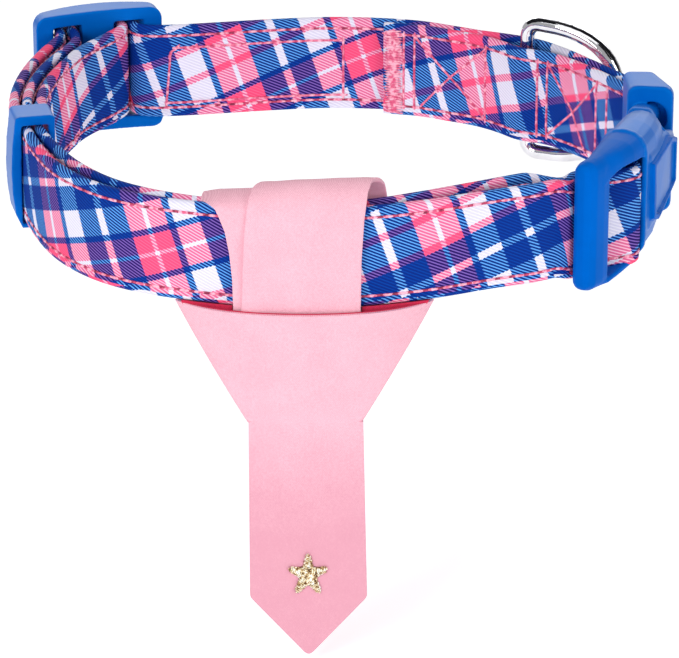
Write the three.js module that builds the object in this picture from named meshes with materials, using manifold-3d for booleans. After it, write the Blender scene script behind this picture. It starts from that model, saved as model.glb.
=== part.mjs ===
// A dog collar with a tie: one long strap of cloth-covered webbing, threaded through a side-release
// buckle, a three-bar adjuster and a keeper loop, with a steel lead ring sewn in and a cloth tie
// wrapped round its front. Millimetres, +Z up. The origin is the middle of the neck opening at half
// the strap's height; the tie hangs at the front, towards -Y, and the buckle is on the +X side.
import * as THREE from "three";
import { mergeVertices } from "three/addons/utils/BufferGeometryUtils.js";
import Module from "manifold-3d";

const wasm = await Module();
wasm.setup();

// ---------------------------------------------------------------- driving dimensions

const GAP = 0.3;
const strap = { width: 25, thickness: 2.6, pitch: 3.0, longestStep: 4.2, largestTurn: 13 };
const half = { width: strap.width / 2, thickness: strap.thickness / 2 };

// The front of the strap is a shallow bow: y = nose + bow * (x - centre)^2 on its middle line.
const front = { centre: -8, nose: -66, bow: 0.0063 };

// The buckle is bent to the neck: its middle line is an arc that starts in the strap bar at the
// front and heads back and outwards. s runs along that arc, n is the distance outside it.
const buckle = { x: 59.6, y: -44.6, heading: THREE.MathUtils.degToRad(58.6), radius: 117 };
const strapBar = { halfLength: 3.6, halfHeight: 16.4 };
const frontPin = { s: 16, n: 0.1, radius: 1.4, halfHeight: 14 };
const rearPin = { s: 58.0, n: -0.2, radius: 1.3, halfHeight: 14 };
const strapSlotHalf = half.width + 0.6;
const shellMouth = 17.6;
const shellEnd = 49.2;
const ribHeight = 1.0;
// Both halves sit a little high on the strap: the hollow half rises from its bar to its shell.
const rise = { shell: 1.4, length: 17, prongs: 1.2 };
// The rooms that the strap and the prongs need inside the two buckle halves, as (s, n) spans.
const turnRoom = { from: shellMouth - 1, to: 20.9, inside: -4.75, outside: 4.75 };
const prongRoom = { from: 23.4, to: shellEnd + 1, inside: -3.5, outside: 3.9, high: 13.7, round: 2.2 };
const rearRoom = { from: 53.4, to: 63, inside: -4.8, outside: 8 };
const prongHole = { from: 48.3, to: 52.2, inside: -4.5, outside: 4.4, low: 4.2, high: 12.4, round: 3.4 };

const glide = {
  x: -61.65, y: 60.4, turn: THREE.MathUtils.degToRad(17.7),
  halfLength: 16.7, halfHeight: 16.4, corner: 3,
  innerRise: 1.6, endThickness: 4.2, middleThickness: 7.0,
  slotFrom: 4.3, barThickness: 3.4,
};
// The outer ends of the adjuster's slots as (u, v) steps: wide at the neck side, close outside.
const SLOT_END = [[12.3, 0], [11.4, 3.4], [10.72, 6.9]];
const keeper = {
  x: -74.9, y: -7.9, turn: THREE.MathUtils.degToRad(-77),
  length: 9.2, wall: 1.6, lid: 2.4, foot: 1.1, bulge: 1.0, corner: 1.2, lean: 0.08,
};
const ring = {
  x: 47.96, y: 48.71, z: 0.7, wire: 4.0, height: 38.6, reach: 29.4, corner: 3, fullness: 2.4,
  turn: -26,
};
const knot = {
  left: -23.1, right: 8.2, wall: 1.2, slack: 0.5, topRadius: 6, lowDepth: 10.4, lowRadius: 2.5,
  straightUp: 12, straightDown: 12.7, plyWall: 0.9, plyTop: -31.9, plyBottom: -24.7,
};
const flap = {
  top: -13, bottom: -40.5, left: -38.4, right: 22.2, tailLeft: -21.7, tailRight: 5.5,
  wall: 1.2, lip: 1.6, bulge: 3.3, pouch: 12.9, thin: 2.4, pocketFloor: -33,
};
const tail = { left: -21.4, right: 6.2, cornerLeft: -85.6, cornerRight: -87.3, tip: -102, thickness: 2.4 };
const star = { radius: 4.9, waist: 0.46, thickness: 0.8, z: -79.8 };

// ---------------------------------------------------------------- places and frames

function buckleToWorld(s, n) {
  const h = buckle.heading + s / buckle.radius;
  const x = buckle.x + buckle.radius * (Math.sin(h) - Math.sin(buckle.heading)) + n * Math.sin(h);
  const y = buckle.y + buckle.radius * (Math.cos(buckle.heading) - Math.cos(h)) - n * Math.cos(h);
  return new THREE.Vector2(x, y);
}

function turned(frame, u, v) {
  const c = Math.cos(frame.turn);
  const s = Math.sin(frame.turn);
  return new THREE.Vector2(frame.x + u * c - v * s, frame.y + u * s + v * c);
}

function frontLine(x) {
  return front.nose + front.bow * (x - front.centre) ** 2;
}

// ---------------------------------------------------------------- solids

function solidOf(geometry) {
  const plain = geometry.clone();
  plain.deleteAttribute("normal");
  plain.deleteAttribute("uv");
  const merged = mergeVertices(plain, 1e-4);
  const mesh = new wasm.Mesh({
    numProp: 3,
    vertProperties: new Float32Array(merged.attributes.position.array),
    triVerts: new Uint32Array(merged.index.array),
  });
  return new wasm.Manifold(mesh);
}

function geometryOf(solid) {
  const mesh = solid.getMesh();
  const geometry = new THREE.BufferGeometry();
  geometry.setAttribute("position", new THREE.BufferAttribute(mesh.vertProperties, 3));
  geometry.setIndex(new THREE.BufferAttribute(mesh.triVerts, 1));
  geometry.computeVertexNormals();
  return geometry;
}

function signedVolume(geometry) {
  const p = geometry.attributes.position;
  const index = geometry.index;
  const [a, b, c] = [new THREE.Vector3(), new THREE.Vector3(), new THREE.Vector3()];
  let volume = 0;
  for (let i = 0; i < index.count; i += 3) {
    a.fromBufferAttribute(p, index.getX(i));
    b.fromBufferAttribute(p, index.getX(i + 1));
    c.fromBufferAttribute(p, index.getX(i + 2));
    volume += a.dot(b.cross(c)) / 6;
  }
  return volume;
}

function reverseFaces(geometry) {
  const faces = geometry.index.array;
  for (let i = 0; i < faces.length; i += 3) {
    [faces[i + 1], faces[i + 2]] = [faces[i + 2], faces[i + 1]];
  }
}

// A closed body through rings that hold the same number of points; `closed` joins last to first.
function loft(rings, closed = false) {
  const size = rings[0].length;
  const positions = rings.flat().flatMap((p) => [p.x, p.y, p.z]);
  const faces = [];
  const spans = closed ? rings.length : rings.length - 1;
  for (let i = 0; i < spans; i += 1) {
    const next = (i + 1) % rings.length;
    for (let j = 0; j < size; j += 1) {
      const k = (j + 1) % size;
      const [a, b, c, d] = [i * size + j, i * size + k, next * size + k, next * size + j];
      faces.push(a, b, c, a, c, d);
    }
  }
  if (!closed) {
    const last = (rings.length - 1) * size;
    for (let j = 1; j < size - 1; j += 1) {
      faces.push(0, j + 1, j);
      faces.push(last, last + j, last + j + 1);
    }
  }
  const geometry = new THREE.BufferGeometry();
  geometry.setAttribute("position", new THREE.Float32BufferAttribute(positions, 3));
  geometry.setIndex(faces);
  if (signedVolume(geometry) < 0) reverseFaces(geometry);
  geometry.computeVertexNormals();
  return geometry;
}

// A prism of a plan outline between two heights.
function prism(outline, low, high) {
  const geometry = new THREE.ExtrudeGeometry(new THREE.Shape(outline), {
    depth: high - low, bevelEnabled: false, steps: 1,
  });
  return geometry.translate(0, 0, low);
}

function box(x, y, z) {
  const geometry = new THREE.BoxGeometry(x[1] - x[0], y[1] - y[0], z[1] - z[0]);
  return geometry.translate((x[0] + x[1]) / 2, (y[0] + y[1]) / 2, (z[0] + z[1]) / 2);
}

function upright(x, y, radius, halfHeight) {
  const geometry = new THREE.CylinderGeometry(radius, radius, 2 * halfHeight, 16);
  return geometry.rotateX(Math.PI / 2).translate(x, y, 0);
}

// A rounded rectangle in the (n, z) plane at one s, as points anticlockwise from its lower side.
function roundedSection({ s, inside, outside, low, high, round }) {
  const arcSteps = 4;
  const r = Math.min(round, (outside - inside) / 2 - 0.01, (high - low) / 2 - 0.01);
  const centres = [
    [outside - r, low + r, -90], [outside - r, high - r, 0],
    [inside + r, high - r, 90], [inside + r, low + r, 180],
  ];
  const points = [];
  for (const [n, z, start] of centres) {
    for (let k = 0; k <= arcSteps; k += 1) {
      const angle = THREE.MathUtils.degToRad(start + (90 * k) / arcSteps);
      points.push(new THREE.Vector3(s, n + r * Math.cos(angle), z + r * Math.sin(angle)));
    }
  }
  return points;
}

// A section at one s with a flat foot and a top that falls away like an arch to both sides.
function crownedSection({ s, inside, outside, low, high }) {
  const steps = 12;
  const power = 2.6;
  const middle = (inside + outside) / 2;
  const reach = (outside - inside) / 2;
  const points = [];
  for (let k = 0; k <= steps; k += 1) {
    const q = -Math.cos((Math.PI * k) / steps);
    const rise = Math.max(0, 1 - Math.abs(q) ** power) ** (1 / power);
    points.push(new THREE.Vector3(s, middle + reach * q, low + (high - low) * rise));
  }
  return points;
}

function sectionLoft(rows) {
  return loft(rows.map((row) => roundedSection({ low: -row.high, ...row })));
}

// Straight buckle pieces are drawn in (s, n, z), then raised and bent round the neck.
function bentToNeck(solid, raise) {
  const geometry = geometryOf(solid);
  const p = geometry.attributes.position;
  for (let i = 0; i < p.count; i += 1) {
    const world = buckleToWorld(p.getX(i), p.getY(i));
    p.setXYZ(i, world.x, world.y, p.getZ(i) + raise(p.getX(i)));
  }
  reverseFaces(geometry);
  geometry.computeVertexNormals();
  return geometry;
}

// The same rows with every height turned upside down, for the piece's lower twin.
function upsideDown(rows) {
  return rows.map((row) => ({ ...row, low: -row.high, high: -row.low }));
}

// ---------------------------------------------------------------- the strap's route

// The main ply seen from above, from the rear buckle half round the back of the neck. `inner` is
// the distance to the end that is folded back inside it and sewn down.
const BACK_ROUTE = [
  { at: "rear buckle mouth", x: 77.6, y: 15.6, inner: 4.3 },
  { at: "second box stitch end", x: 72.6, y: 22.6, inner: 3.6 },
  { at: "second box stitch start", x: 64.4, y: 34.4, inner: 3.4 },
  { at: "beside the ring", x: 57.0, y: 44.6, inner: 5.0 },
  { at: "over the ring's bar", x: 50.4, y: 51.5, inner: 7.8 },
  { at: "past the ring", x: 42.8, y: 55.6, inner: 5.2 },
  { at: "first box stitch end", x: 36.2, y: 58.3, inner: 3.1 },
  { at: "first box stitch middle", x: 29.6, y: 61.6, inner: 3.0 },
  { at: "first box stitch start", x: 21.6, y: 65.4, inner: 3.0 },
  { at: "folded end", x: 12.0, y: 67.7, inner: 3.0 },
  { at: "back of the neck", x: -2.9, y: 68.7, inner: 0 },
  { at: "back left", x: -17.5, y: 67.0, inner: 0 },
  { at: "before the adjuster", x: -31, y: 64.6, inner: 0 },
  { at: "adjuster edge", x: -41.3, y: 62.9, inner: 0 },
];

// The main ply through the adjuster, in the adjuster's own frame: in through the right slot, over
// the bar and the strap end looped on it, and back through the left slot.
const GLIDE_ROUTE = [
  { u: 13.6, v: -2.2 }, { u: 10.9, v: -0.7 }, { u: 9.75, v: 1.6 }, { u: 9.6, v: 4.4 },
  { u: 8.7, v: 7.5 }, { u: 6.4, v: 9.4 }, { u: 2.6, v: 9.9 }, { u: -2.6, v: 9.9 },
  { u: -6.4, v: 9.4 }, { u: -8.7, v: 7.5 }, { u: -9.7, v: 4.4 }, { u: -10.0, v: 1.5 },
];

// The main ply down the left side and round the front. `tail` and `inner` are the distances to
// the sewn end and to the ply that comes back from the front buckle half.
const LEFT_ROUTE = [
  { at: "under the adjuster", x: -71.7, y: 55.2 },
  { at: "upper fan", x: -74.4, y: 46.7, tail: 4.8 },
  { at: "middle fan", x: -76.7, y: 38.8, tail: 4.2, inner: 8.0 },
  { at: "lower fan", x: -78.5, y: 30.6, tail: 3.7, inner: 7.5 },
  { at: "side", x: -79.8, y: 21.0, tail: 3.4, inner: 7.0 },
  { at: "widest", x: -80.3, y: 11.8, tail: 3.2, inner: 6.6 },
  { at: "sewn end", x: -79.9, y: 4.6, tail: 3.1, inner: 6.2 },
  { at: "keeper back", x: -78.2, y: -2.0, inner: 3.3 },
  { at: "keeper front", x: -75.2, y: -14.0, inner: 3.1 },
  { at: "past the keeper", x: -72.9, y: -22.0, inner: 3.6 },
  { at: "corner", x: -66.6, y: -37.4, inner: 4.4 },
  { at: "corner end", x: -56.8, y: -49.9, inner: 4.2 },
  { at: "front left", x: -46.0, y: -57.2, inner: 3.7 },
];
const FRONT_ROUTE = [
  { x: -35, inner: 3.1 }, { x: -22, inner: 3.0 }, { x: -8, inner: 3.0 }, { x: 7, inner: 3.8 },
  { x: 21, inner: 5.4 },
].map((row) => ({ ...row, y: frontLine(row.x) }));
const RIGHT_ROUTE = [
  { at: "front right", x: 36.0, y: -54.3, inner: 6.2 },
  { at: "before the buckle", x: 47.4, y: -49.8, inner: 7.2 },
];

// The returning ply from beside the sewn end up to the adjuster.
const RETURN_TOP = [
  { at: "bulge", x: -66.2, y: 45.0 },
  { at: "turning in", x: -62.6, y: 51.4 },
  { at: "below the right slot", x: -58.2, y: 58.4 },
];
const LOOP_ROUTE = [
  { u: 6.5, v: 1.4 }, { u: 6.55, v: 4.2 }, { u: 5.0, v: 6.45 }, { u: 2.4, v: 6.8 },
  { u: -2.4, v: 6.8 }, { u: -5.0, v: 6.45 }, { u: -6.55, v: 4.2 }, { u: -6.5, v: 1.4 },
];

// The row's point moved towards the neck by the distance in the named column.
function inward(rows, column) {
  const moved = [];
  rows.forEach((row, i) => {
    if (!row[column]) return;
    const before = rows[Math.max(i - 1, 0)];
    const after = rows[Math.min(i + 1, rows.length - 1)];
    const along = new THREE.Vector2(after.x - before.x, after.y - before.y).normalize();
    moved.push(new THREE.Vector2(row.x - along.y * row[column], row.y + along.x * row[column]));
  });
  return moved;
}

// Points on the arc that the strap's middle line makes round a pin, in the buckle's (s, n) frame.
function roundPin(pin, fromAngle, toAngle) {
  const reach = pin.radius + GAP + half.thickness;
  const turns = 6;
  return Array.from({ length: turns + 1 }, (_, k) => {
    const a = THREE.MathUtils.degToRad(fromAngle + ((toAngle - fromAngle) * k) / turns);
    return buckleToWorld(pin.s + reach * Math.cos(a), pin.n + reach * Math.sin(a));
  });
}

const plain = (rows) => rows.map((row) => new THREE.Vector2(row.x, row.y));
const inGlide = (rows) => rows.map((row) => turned(glide, row.u, row.v));
const inBuckle = (rows) => rows.map(([s, n]) => buckleToWorld(s, n));

function strapRoute() {
  const frontRows = [...LEFT_ROUTE, ...FRONT_ROUTE, ...RIGHT_ROUTE];
  return [
    ...inward(BACK_ROUTE, "inner").reverse(),
    ...roundPin(rearPin, 270, 90),
    ...plain(BACK_ROUTE),
    ...inGlide(GLIDE_ROUTE),
    ...plain(frontRows),
    ...inBuckle([[-4.2, -5.1], [0, -4.9], [4.0, -4.3], [7.6, -2.2], [11.2, 0.8]]),
    ...roundPin(frontPin, 118, -72),
    ...inBuckle([[10.8, -4.7], [5, -7.4], [0, -8.0]]),
    ...inward(frontRows, "inner").reverse(),
    ...plain(RETURN_TOP),
    ...inGlide(LOOP_ROUTE),
    new THREE.Vector2(-67.5, 53.4),
    ...inward(LEFT_ROUTE, "tail"),
  ];
}

// The route's points joined by a smooth curve, stepped closely where it bends and widely where not.
function smoothLine(points) {
  const curve = new THREE.CatmullRomCurve3(
    points.map((p) => new THREE.Vector3(p.x, p.y, 0)), false, "centripetal",
  );
  const samples = curve.getPoints((points.length - 1) * 12);
  const largestTurn = THREE.MathUtils.degToRad(strap.largestTurn);
  const line = [samples[0]];
  let heading = null;
  for (let i = 1; i < samples.length - 1; i += 1) {
    const ahead = samples[i + 1].clone().sub(samples[i]);
    heading ??= ahead;
    const far = samples[i].distanceTo(line[line.length - 1]) > strap.longestStep;
    if (far || ahead.angleTo(heading) > largestTurn) {
      line.push(samples[i]);
      heading = ahead;
    }
  }
  line.push(samples[samples.length - 1]);
  return line;
}

function ribbon(line, thickness) {
  const [left, right] = [[], []];
  line.forEach((p, i) => {
    const before = line[Math.max(i - 1, 0)];
    const after = line[Math.min(i + 1, line.length - 1)];
    const along = new THREE.Vector2(after.x - before.x, after.y - before.y).normalize();
    const side = new THREE.Vector2(-along.y, along.x).multiplyScalar(thickness / 2);
    left.push(new THREE.Vector2(p.x + side.x, p.y + side.y));
    right.push(new THREE.Vector2(p.x - side.x, p.y - side.y));
  });
  return [...left, ...right.reverse()];
}

function strapGeometry() {
  const outline = ribbon(smoothLine(strapRoute()), strap.thickness);
  return prism(outline, -half.width, half.width);
}

// ---------------------------------------------------------------- the buckle

// The hollow half of the buckle: strap bar, two side arms, and the shell that the prongs enter.
const SHELL_ROWS = [
  { at: "rim", s: shellMouth, inside: -6.0, outside: 6.2, high: 16.5, round: 5.6 },
  { at: "rim back", s: 18.9, inside: -6.0, outside: 6.2, high: 16.5, round: 5.6 },
  { at: "shell", s: 19.3, inside: -5.6, outside: 5.8, high: 15.9, round: 5.2 },
  { at: "shell middle", s: 27, inside: -5.6, outside: 5.6, high: 15.8, round: 5.2 },
  { at: "shoulders start", s: 33, inside: -5.5, outside: 5.1, high: 15.4, round: 5.2 },
  { at: "shoulders", s: 36.6, inside: -5.3, outside: 4.8, high: 14.8, round: 4.9 },
  { at: "shoulders end", s: 38.4, inside: -5.2, outside: 4.6, high: 13.0, round: 4.2 },
  { at: "panel", s: 38.9, inside: -5.2, outside: 6.4, high: 9.2, round: 1.6 },
  { at: "panel end", s: shellEnd, inside: -5.2, outside: 6.4, high: 5.6, round: 1.6 },
];
// The flat outer side that carries the ribs, a little prouder than the rounded shell.
const SIDE_ROWS = [
  { at: "rim", s: 19.0, inside: 2.0, outside: 6.1, high: 9.8, round: 1.4 },
  { at: "start", s: 21.0, inside: 2.0, outside: 6.4, high: 10.0, round: 1.4 },
  { at: "end", s: 39.2, inside: 2.0, outside: 6.4, high: 9.2, round: 1.4 },
];
const BAR_ROWS = [
  { s: -4.4, inside: -1.6, outside: 0.4, high: 14.8, round: 0.9 },
  { s: -3.8, inside: -2.7, outside: 1.7, high: 15.8, round: 2.0 },
  { s: -2.2, inside: -3.15, outside: 2.7, high: 16.4, round: 2.8 },
  { s: 0.6, inside: -3.15, outside: 3.1, high: 16.5, round: 3.0 },
  { s: 2.6, inside: -2.65, outside: 3.1, high: 16.5, round: 2.8 },
  { s: 3.8, inside: -2.0, outside: 2.7, high: 16.4, round: 2.2 },
  { s: 4.6, inside: -1.0, outside: 1.8, high: 16.2, round: 1.3 },
];
// The upper arm is crowned across its top; its outer edge hangs outside the strap as it turns in.
const ARM_ROWS = [
  { s: 0, inside: -3.1, outside: 3.1, low: 10.2, high: 16.5 },
  { s: 3, inside: -3.4, outside: 3.5, low: 10.9, high: 16.5 },
  { s: 5, inside: -3.7, outside: 3.9, low: 11.6, high: 16.5 },
  { s: 8, inside: -4.1, outside: 4.5, low: 11.8, high: 16.4 },
  { s: 12.2, inside: -4.7, outside: 5.2, low: 11.2, high: 16.2 },
  { s: 18.2, inside: -5.4, outside: 5.8, low: 10.4, high: 15.9 },
];
// The strap's room under the upper arm, as (s, n) corners, and its height.
const ARM_ROOM = [
  [-1, -8], [-1, -2.2], [3, -1.4], [5, -0.6], [8, 1.4], [10.4, 2.8], [12.2, 3.8], [14, 4.7],
  [19, 4.95], [19, -8],
];
const armUnderside = 13.1;
const LOWER_ARM_ROWS = [
  { s: 0, inside: -2.4, outside: 2.4, low: -15.7, high: -14.6, round: 0.5 },
  { s: 4, inside: -3.4, outside: 3.2, low: -16.2, high: -14.8, round: 0.7 },
  { s: 9, inside: -4.2, outside: 3.6, low: -16.4, high: -14.8, round: 0.7 },
  { s: 18.2, inside: -5.3, outside: 4.6, low: -16.3, high: -14.6, round: 0.7 },
];
// The ribs that frame the finger side, as anticlockwise (s, z) corners of their outer edge.
const RIB_CORNERS = [[20.8, -6.6], [25, -8.3], [47.2, -7.0], [47.2, 4.4], [36.8, 8.4], [20.2, 7.6]];
const ribWidth = 0.14;

function ribPanel() {
  const rim = RIB_CORNERS.map(([s, z]) => new THREE.Vector2(s, z));
  const middle = rim.reduce((sum, p) => sum.add(p), new THREE.Vector2()).divideScalar(rim.length);
  const shape = new THREE.Shape(rim);
  shape.holes.push(new THREE.Path(rim.map((p) => middle.clone().lerp(p, 1 - ribWidth))));
  const depth = 2 * ribHeight;
  const outside = SIDE_ROWS[1].outside + ribHeight;
  const geometry = new THREE.ExtrudeGeometry(shape, { depth, bevelEnabled: false });
  return geometry.rotateX(Math.PI / 2).translate(0, outside, 0);
}

// A room for the strap, which keeps its own height where the buckle is raised.
function roomSolid({ from, to, inside, outside }, raised) {
  return solidOf(box([from, to], [inside, outside], [-strapSlotHalf - raised, strapSlotHalf]));
}

function roundRoomSolid({ from, to, ...span }) {
  return solidOf(sectionLoft([{ s: from, ...span }, { s: to, ...span }]));
}

function pinSolid({ s, n, radius, halfHeight }) {
  return solidOf(upright(s, n, radius, halfHeight));
}

// The rows' body and its twin upside down.
function pairOf(rows) {
  return solidOf(sectionLoft(rows)).add(solidOf(sectionLoft(upsideDown(rows))));
}

function upperArm() {
  const room = prism(ARM_ROOM.map(([s, n]) => new THREE.Vector2(s, n)), 0, armUnderside);
  return solidOf(loft(ARM_ROWS.map(crownedSection))).subtract(solidOf(room));
}

function femaleBuckle() {
  const solid = solidOf(sectionLoft(SHELL_ROWS))
    .add(solidOf(sectionLoft(SIDE_ROWS)))
    .add(solidOf(ribPanel()))
    .subtract(roomSolid(turnRoom, rise.shell))
    .subtract(roundRoomSolid(prongRoom))
    .add(solidOf(sectionLoft(BAR_ROWS)))
    .add(upperArm())
    .add(solidOf(sectionLoft(LOWER_ARM_ROWS)))
    .add(pinSolid({ ...frontPin, halfHeight: frontPin.halfHeight + rise.shell }));
  return bentToNeck(solid, (s) => rise.shell * THREE.MathUtils.smoothstep(s, 0, rise.length));
}

// The solid half: a shoulder block that the sewn strap end loops into, a middle tongue and the
// two prongs whose rounded grips show between the shell and the shoulder.
const SHOULDER_ROWS = [
  { at: "front edge", s: 49.5, inside: -5.2, outside: 5.6, high: 16.1, round: 2.6 },
  { at: "front", s: 50.0, inside: -5.5, outside: 6.0, high: 16.4, round: 2.7 },
  { at: "side", s: 52.0, inside: -5.8, outside: 6.0, high: 16.4, round: 2.6 },
  { at: "back", s: 60.6, inside: -6.6, outside: 1.5, high: 16.4, round: 1.6 },
  { at: "back edge", s: 61.1, inside: -6.4, outside: 1.1, high: 16.1, round: 1.5 },
];
const PRONG_ROWS = [
  { at: "root", s: 52.5, inside: -3.2, outside: 2.6, low: 6.4, high: 11.4, round: 1.8 },
  { at: "knuckle", s: 49.6, inside: -4.1, outside: 2.2, low: 6.6, high: 11.8, round: 2.4 },
  { at: "grip", s: 47.0, inside: -4.5, outside: 2.0, low: 7.2, high: 12.8, round: 2.6 },
  { at: "grip end", s: 41.6, inside: -4.5, outside: 2.3, low: 9.2, high: 13.8, round: 2.0 },
  { at: "neck", s: 39.6, inside: -2.8, outside: 3.2, low: 9.2, high: 13.0, round: 1.5 },
  { at: "tip", s: 27, inside: -2.6, outside: 3.0, low: 9.6, high: 12.6, round: 1.2 },
];
const TONGUE_ROWS = [
  { at: "root", s: 51, inside: -3.0, outside: 3.4, high: 4.0, round: 1.0 },
  { at: "tip", s: 28, inside: -2.6, outside: 3.0, high: 4.0, round: 1.0 },
];

function maleBuckle() {
  const { low, high } = prongHole;
  const solid = solidOf(sectionLoft(SHOULDER_ROWS))
    .subtract(roomSolid(rearRoom, rise.prongs))
    .subtract(roundRoomSolid(prongHole))
    .subtract(roundRoomSolid({ ...prongHole, low: -high, high: -low }))
    .add(solidOf(sectionLoft(TONGUE_ROWS)))
    .add(pairOf(PRONG_ROWS))
    .add(pinSolid({ ...rearPin, halfHeight: rearPin.halfHeight + rise.prongs }));
  return bentToNeck(solid, () => rise.prongs);
}

// ---------------------------------------------------------------- adjuster, keeper and lead ring

function roundedRectangle(halfX, halfY, r) {
  const shape = new THREE.Shape();
  shape.absarc(halfX - r, -halfY + r, r, -Math.PI / 2, 0);
  shape.absarc(halfX - r, halfY - r, r, 0, Math.PI / 2);
  shape.absarc(-halfX + r, halfY - r, r, Math.PI / 2, Math.PI);
  shape.absarc(-halfX + r, -halfY + r, r, Math.PI, 1.5 * Math.PI);
  return shape;
}

// The three-bar adjuster, arched outwards in plan and round-cornered in elevation.
function adjuster() {
  const { halfLength, halfHeight, innerRise, endThickness, middleThickness } = glide;
  const stations = Array.from({ length: 13 }, (_, k) => halfLength * (k / 6 - 1));
  const arch = (u) => 1 - (u / halfLength) ** 2;
  const innerFace = stations.map((u) => new THREE.Vector2(u, innerRise * arch(u)));
  const outerFace = stations.map((u) => {
    const thickness = endThickness + (middleThickness - endThickness) * arch(u);
    return new THREE.Vector2(u, innerRise * arch(u) + thickness);
  });
  const body = prism([...innerFace, ...outerFace.reverse()], -halfHeight, halfHeight);
  const clear = 20;
  const face = new THREE.ExtrudeGeometry(roundedRectangle(halfLength, halfHeight, glide.corner), {
    depth: 2 * clear, bevelEnabled: false, curveSegments: 4,
  });
  face.rotateX(Math.PI / 2).translate(0, clear, 0);
  const open = [-strapSlotHalf, strapSlotHalf];
  const slot = (side) => prism([
    [glide.slotFrom, -clear], [SLOT_END[0][0], -clear], ...SLOT_END,
    [SLOT_END.at(-1)[0], clear], [glide.slotFrom, clear],
  ].map(([u, v]) => new THREE.Vector2(side * u, v)), ...open);
  const overBar = box([-glide.slotFrom - 1, glide.slotFrom + 1],
    [innerRise + glide.barThickness, clear], open);
  const solid = solidOf(body).intersect(solidOf(face))
    .subtract(solidOf(slot(-1))).subtract(solidOf(slot(1))).subtract(solidOf(overBar));
  return geometryOf(solid).rotateZ(glide.turn).translate(glide.x, glide.y, 0);
}

// The keeper is a rectangular loop round both plies. Its outer side is crowned, its foot is thin
// and draws in, and it leans: its top stands a little further forward than its foot.
function keeperLoop() {
  const room = strap.pitch / 2 + half.thickness + 0.55;
  const halfDepth = room + keeper.wall;
  const top = strapSlotHalf + keeper.lid;
  const foot = -strapSlotHalf - keeper.foot;
  const r = keeper.corner;
  const shape = new THREE.Shape();
  shape.moveTo(-halfDepth, top - r);
  shape.quadraticCurveTo(-halfDepth - 2 * keeper.bulge, 0, -halfDepth, foot + 3 * r);
  shape.lineTo(-halfDepth + keeper.wall, foot);
  shape.absarc(halfDepth - r, foot + r, r, -Math.PI / 2, 0);
  shape.absarc(halfDepth - r, top - r, r, 0, Math.PI / 2);
  shape.absarc(-halfDepth + r, top - r, r, Math.PI / 2, Math.PI);
  shape.holes.push(new THREE.Path([
    new THREE.Vector2(-room, -strapSlotHalf), new THREE.Vector2(room, -strapSlotHalf),
    new THREE.Vector2(room, strapSlotHalf), new THREE.Vector2(-room, strapSlotHalf),
  ]));
  const geometry = new THREE.ExtrudeGeometry(shape, {
    depth: keeper.length, bevelEnabled: false, curveSegments: 4,
  });
  geometry.translate(0, 0, -keeper.length / 2).rotateX(Math.PI / 2);
  geometry.applyMatrix4(new THREE.Matrix4().makeShear(0, 0, 0, 0, 0, -keeper.lean));
  return geometry.rotateZ(keeper.turn + Math.PI / 2).translate(keeper.x, keeper.y, 0);
}

// The lead ring is welded round wire: a straight bar, which lies between the plies, and a bow.
function leadRing() {
  const halfSpan = ring.height / 2 - ring.wire / 2;
  const reach = ring.reach - ring.wire;
  const line = [];
  const cornerSteps = 4;
  const bowSteps = 22;
  for (let k = 0; k <= 6; k += 1) {
    line.push([0, (halfSpan - ring.corner) * (k / 3 - 1)]);
  }
  for (let k = 1; k <= cornerSteps; k += 1) {
    const a = (Math.PI / 2) * (k / cornerSteps);
    line.push([ring.corner * (1 - Math.cos(a)), halfSpan - ring.corner * (1 - Math.sin(a))]);
  }
  const bowStart = ring.corner + 1;
  const fuller = (value) => Math.sign(value) * Math.abs(value) ** (2 / ring.fullness);
  for (let k = 0; k <= bowSteps; k += 1) {
    const a = Math.PI / 2 - (Math.PI * k) / bowSteps;
    line.push([bowStart + (reach - bowStart) * fuller(Math.cos(a)), halfSpan * fuller(Math.sin(a))]);
  }
  for (let k = cornerSteps; k >= 1; k -= 1) {
    const a = (Math.PI / 2) * (k / cornerSteps);
    line.push([ring.corner * (1 - Math.cos(a)), -halfSpan + ring.corner * (1 - Math.sin(a))]);
  }
  const sides = 10;
  const rings = line.map(([u, z], i) => {
    const [bu, bz] = line[(i + line.length - 1) % line.length];
    const [au, az] = line[(i + 1) % line.length];
    const along = new THREE.Vector2(au - bu, az - bz).normalize();
    return Array.from({ length: sides }, (_, k) => {
      const a = (2 * Math.PI * k) / sides;
      const across = (ring.wire / 2) * Math.cos(a);
      const out = (ring.wire / 2) * Math.sin(a);
      return new THREE.Vector3(u - along.y * across, out, z + along.x * across);
    });
  });
  return loft(rings, true);
}

// ---------------------------------------------------------------- the tie

// One section of the knot across the strap: straight front, round top, flatter round bottom. dy
// is measured from the strap's middle line, and `shrink` moves the whole outline inwards.
function knotSection(x, shrink) {
  const arcSteps = 8;
  const face = -half.thickness - knot.slack - knot.wall + shrink;
  const top = knot.topRadius - shrink;
  const lowHalf = knot.lowDepth / 2 - shrink;
  const lowDrop = knot.lowRadius - shrink;
  const points = [];
  for (let k = 0; k <= arcSteps; k += 1) {
    const a = Math.PI - (Math.PI * k) / arcSteps;
    points.push([face + top + top * Math.cos(a), knot.straightUp + top * Math.sin(a)]);
  }
  for (let k = 0; k <= arcSteps; k += 1) {
    const a = -(Math.PI * k) / arcSteps;
    points.push([face + lowHalf + lowHalf * Math.cos(a), lowDrop * Math.sin(a) - knot.straightDown]);
  }
  return points.map(([dy, z]) => {
    const px = typeof x === "function" ? x(z) : x;
    return new THREE.Vector3(px, frontLine(px) + dy, z);
  });
}

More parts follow.
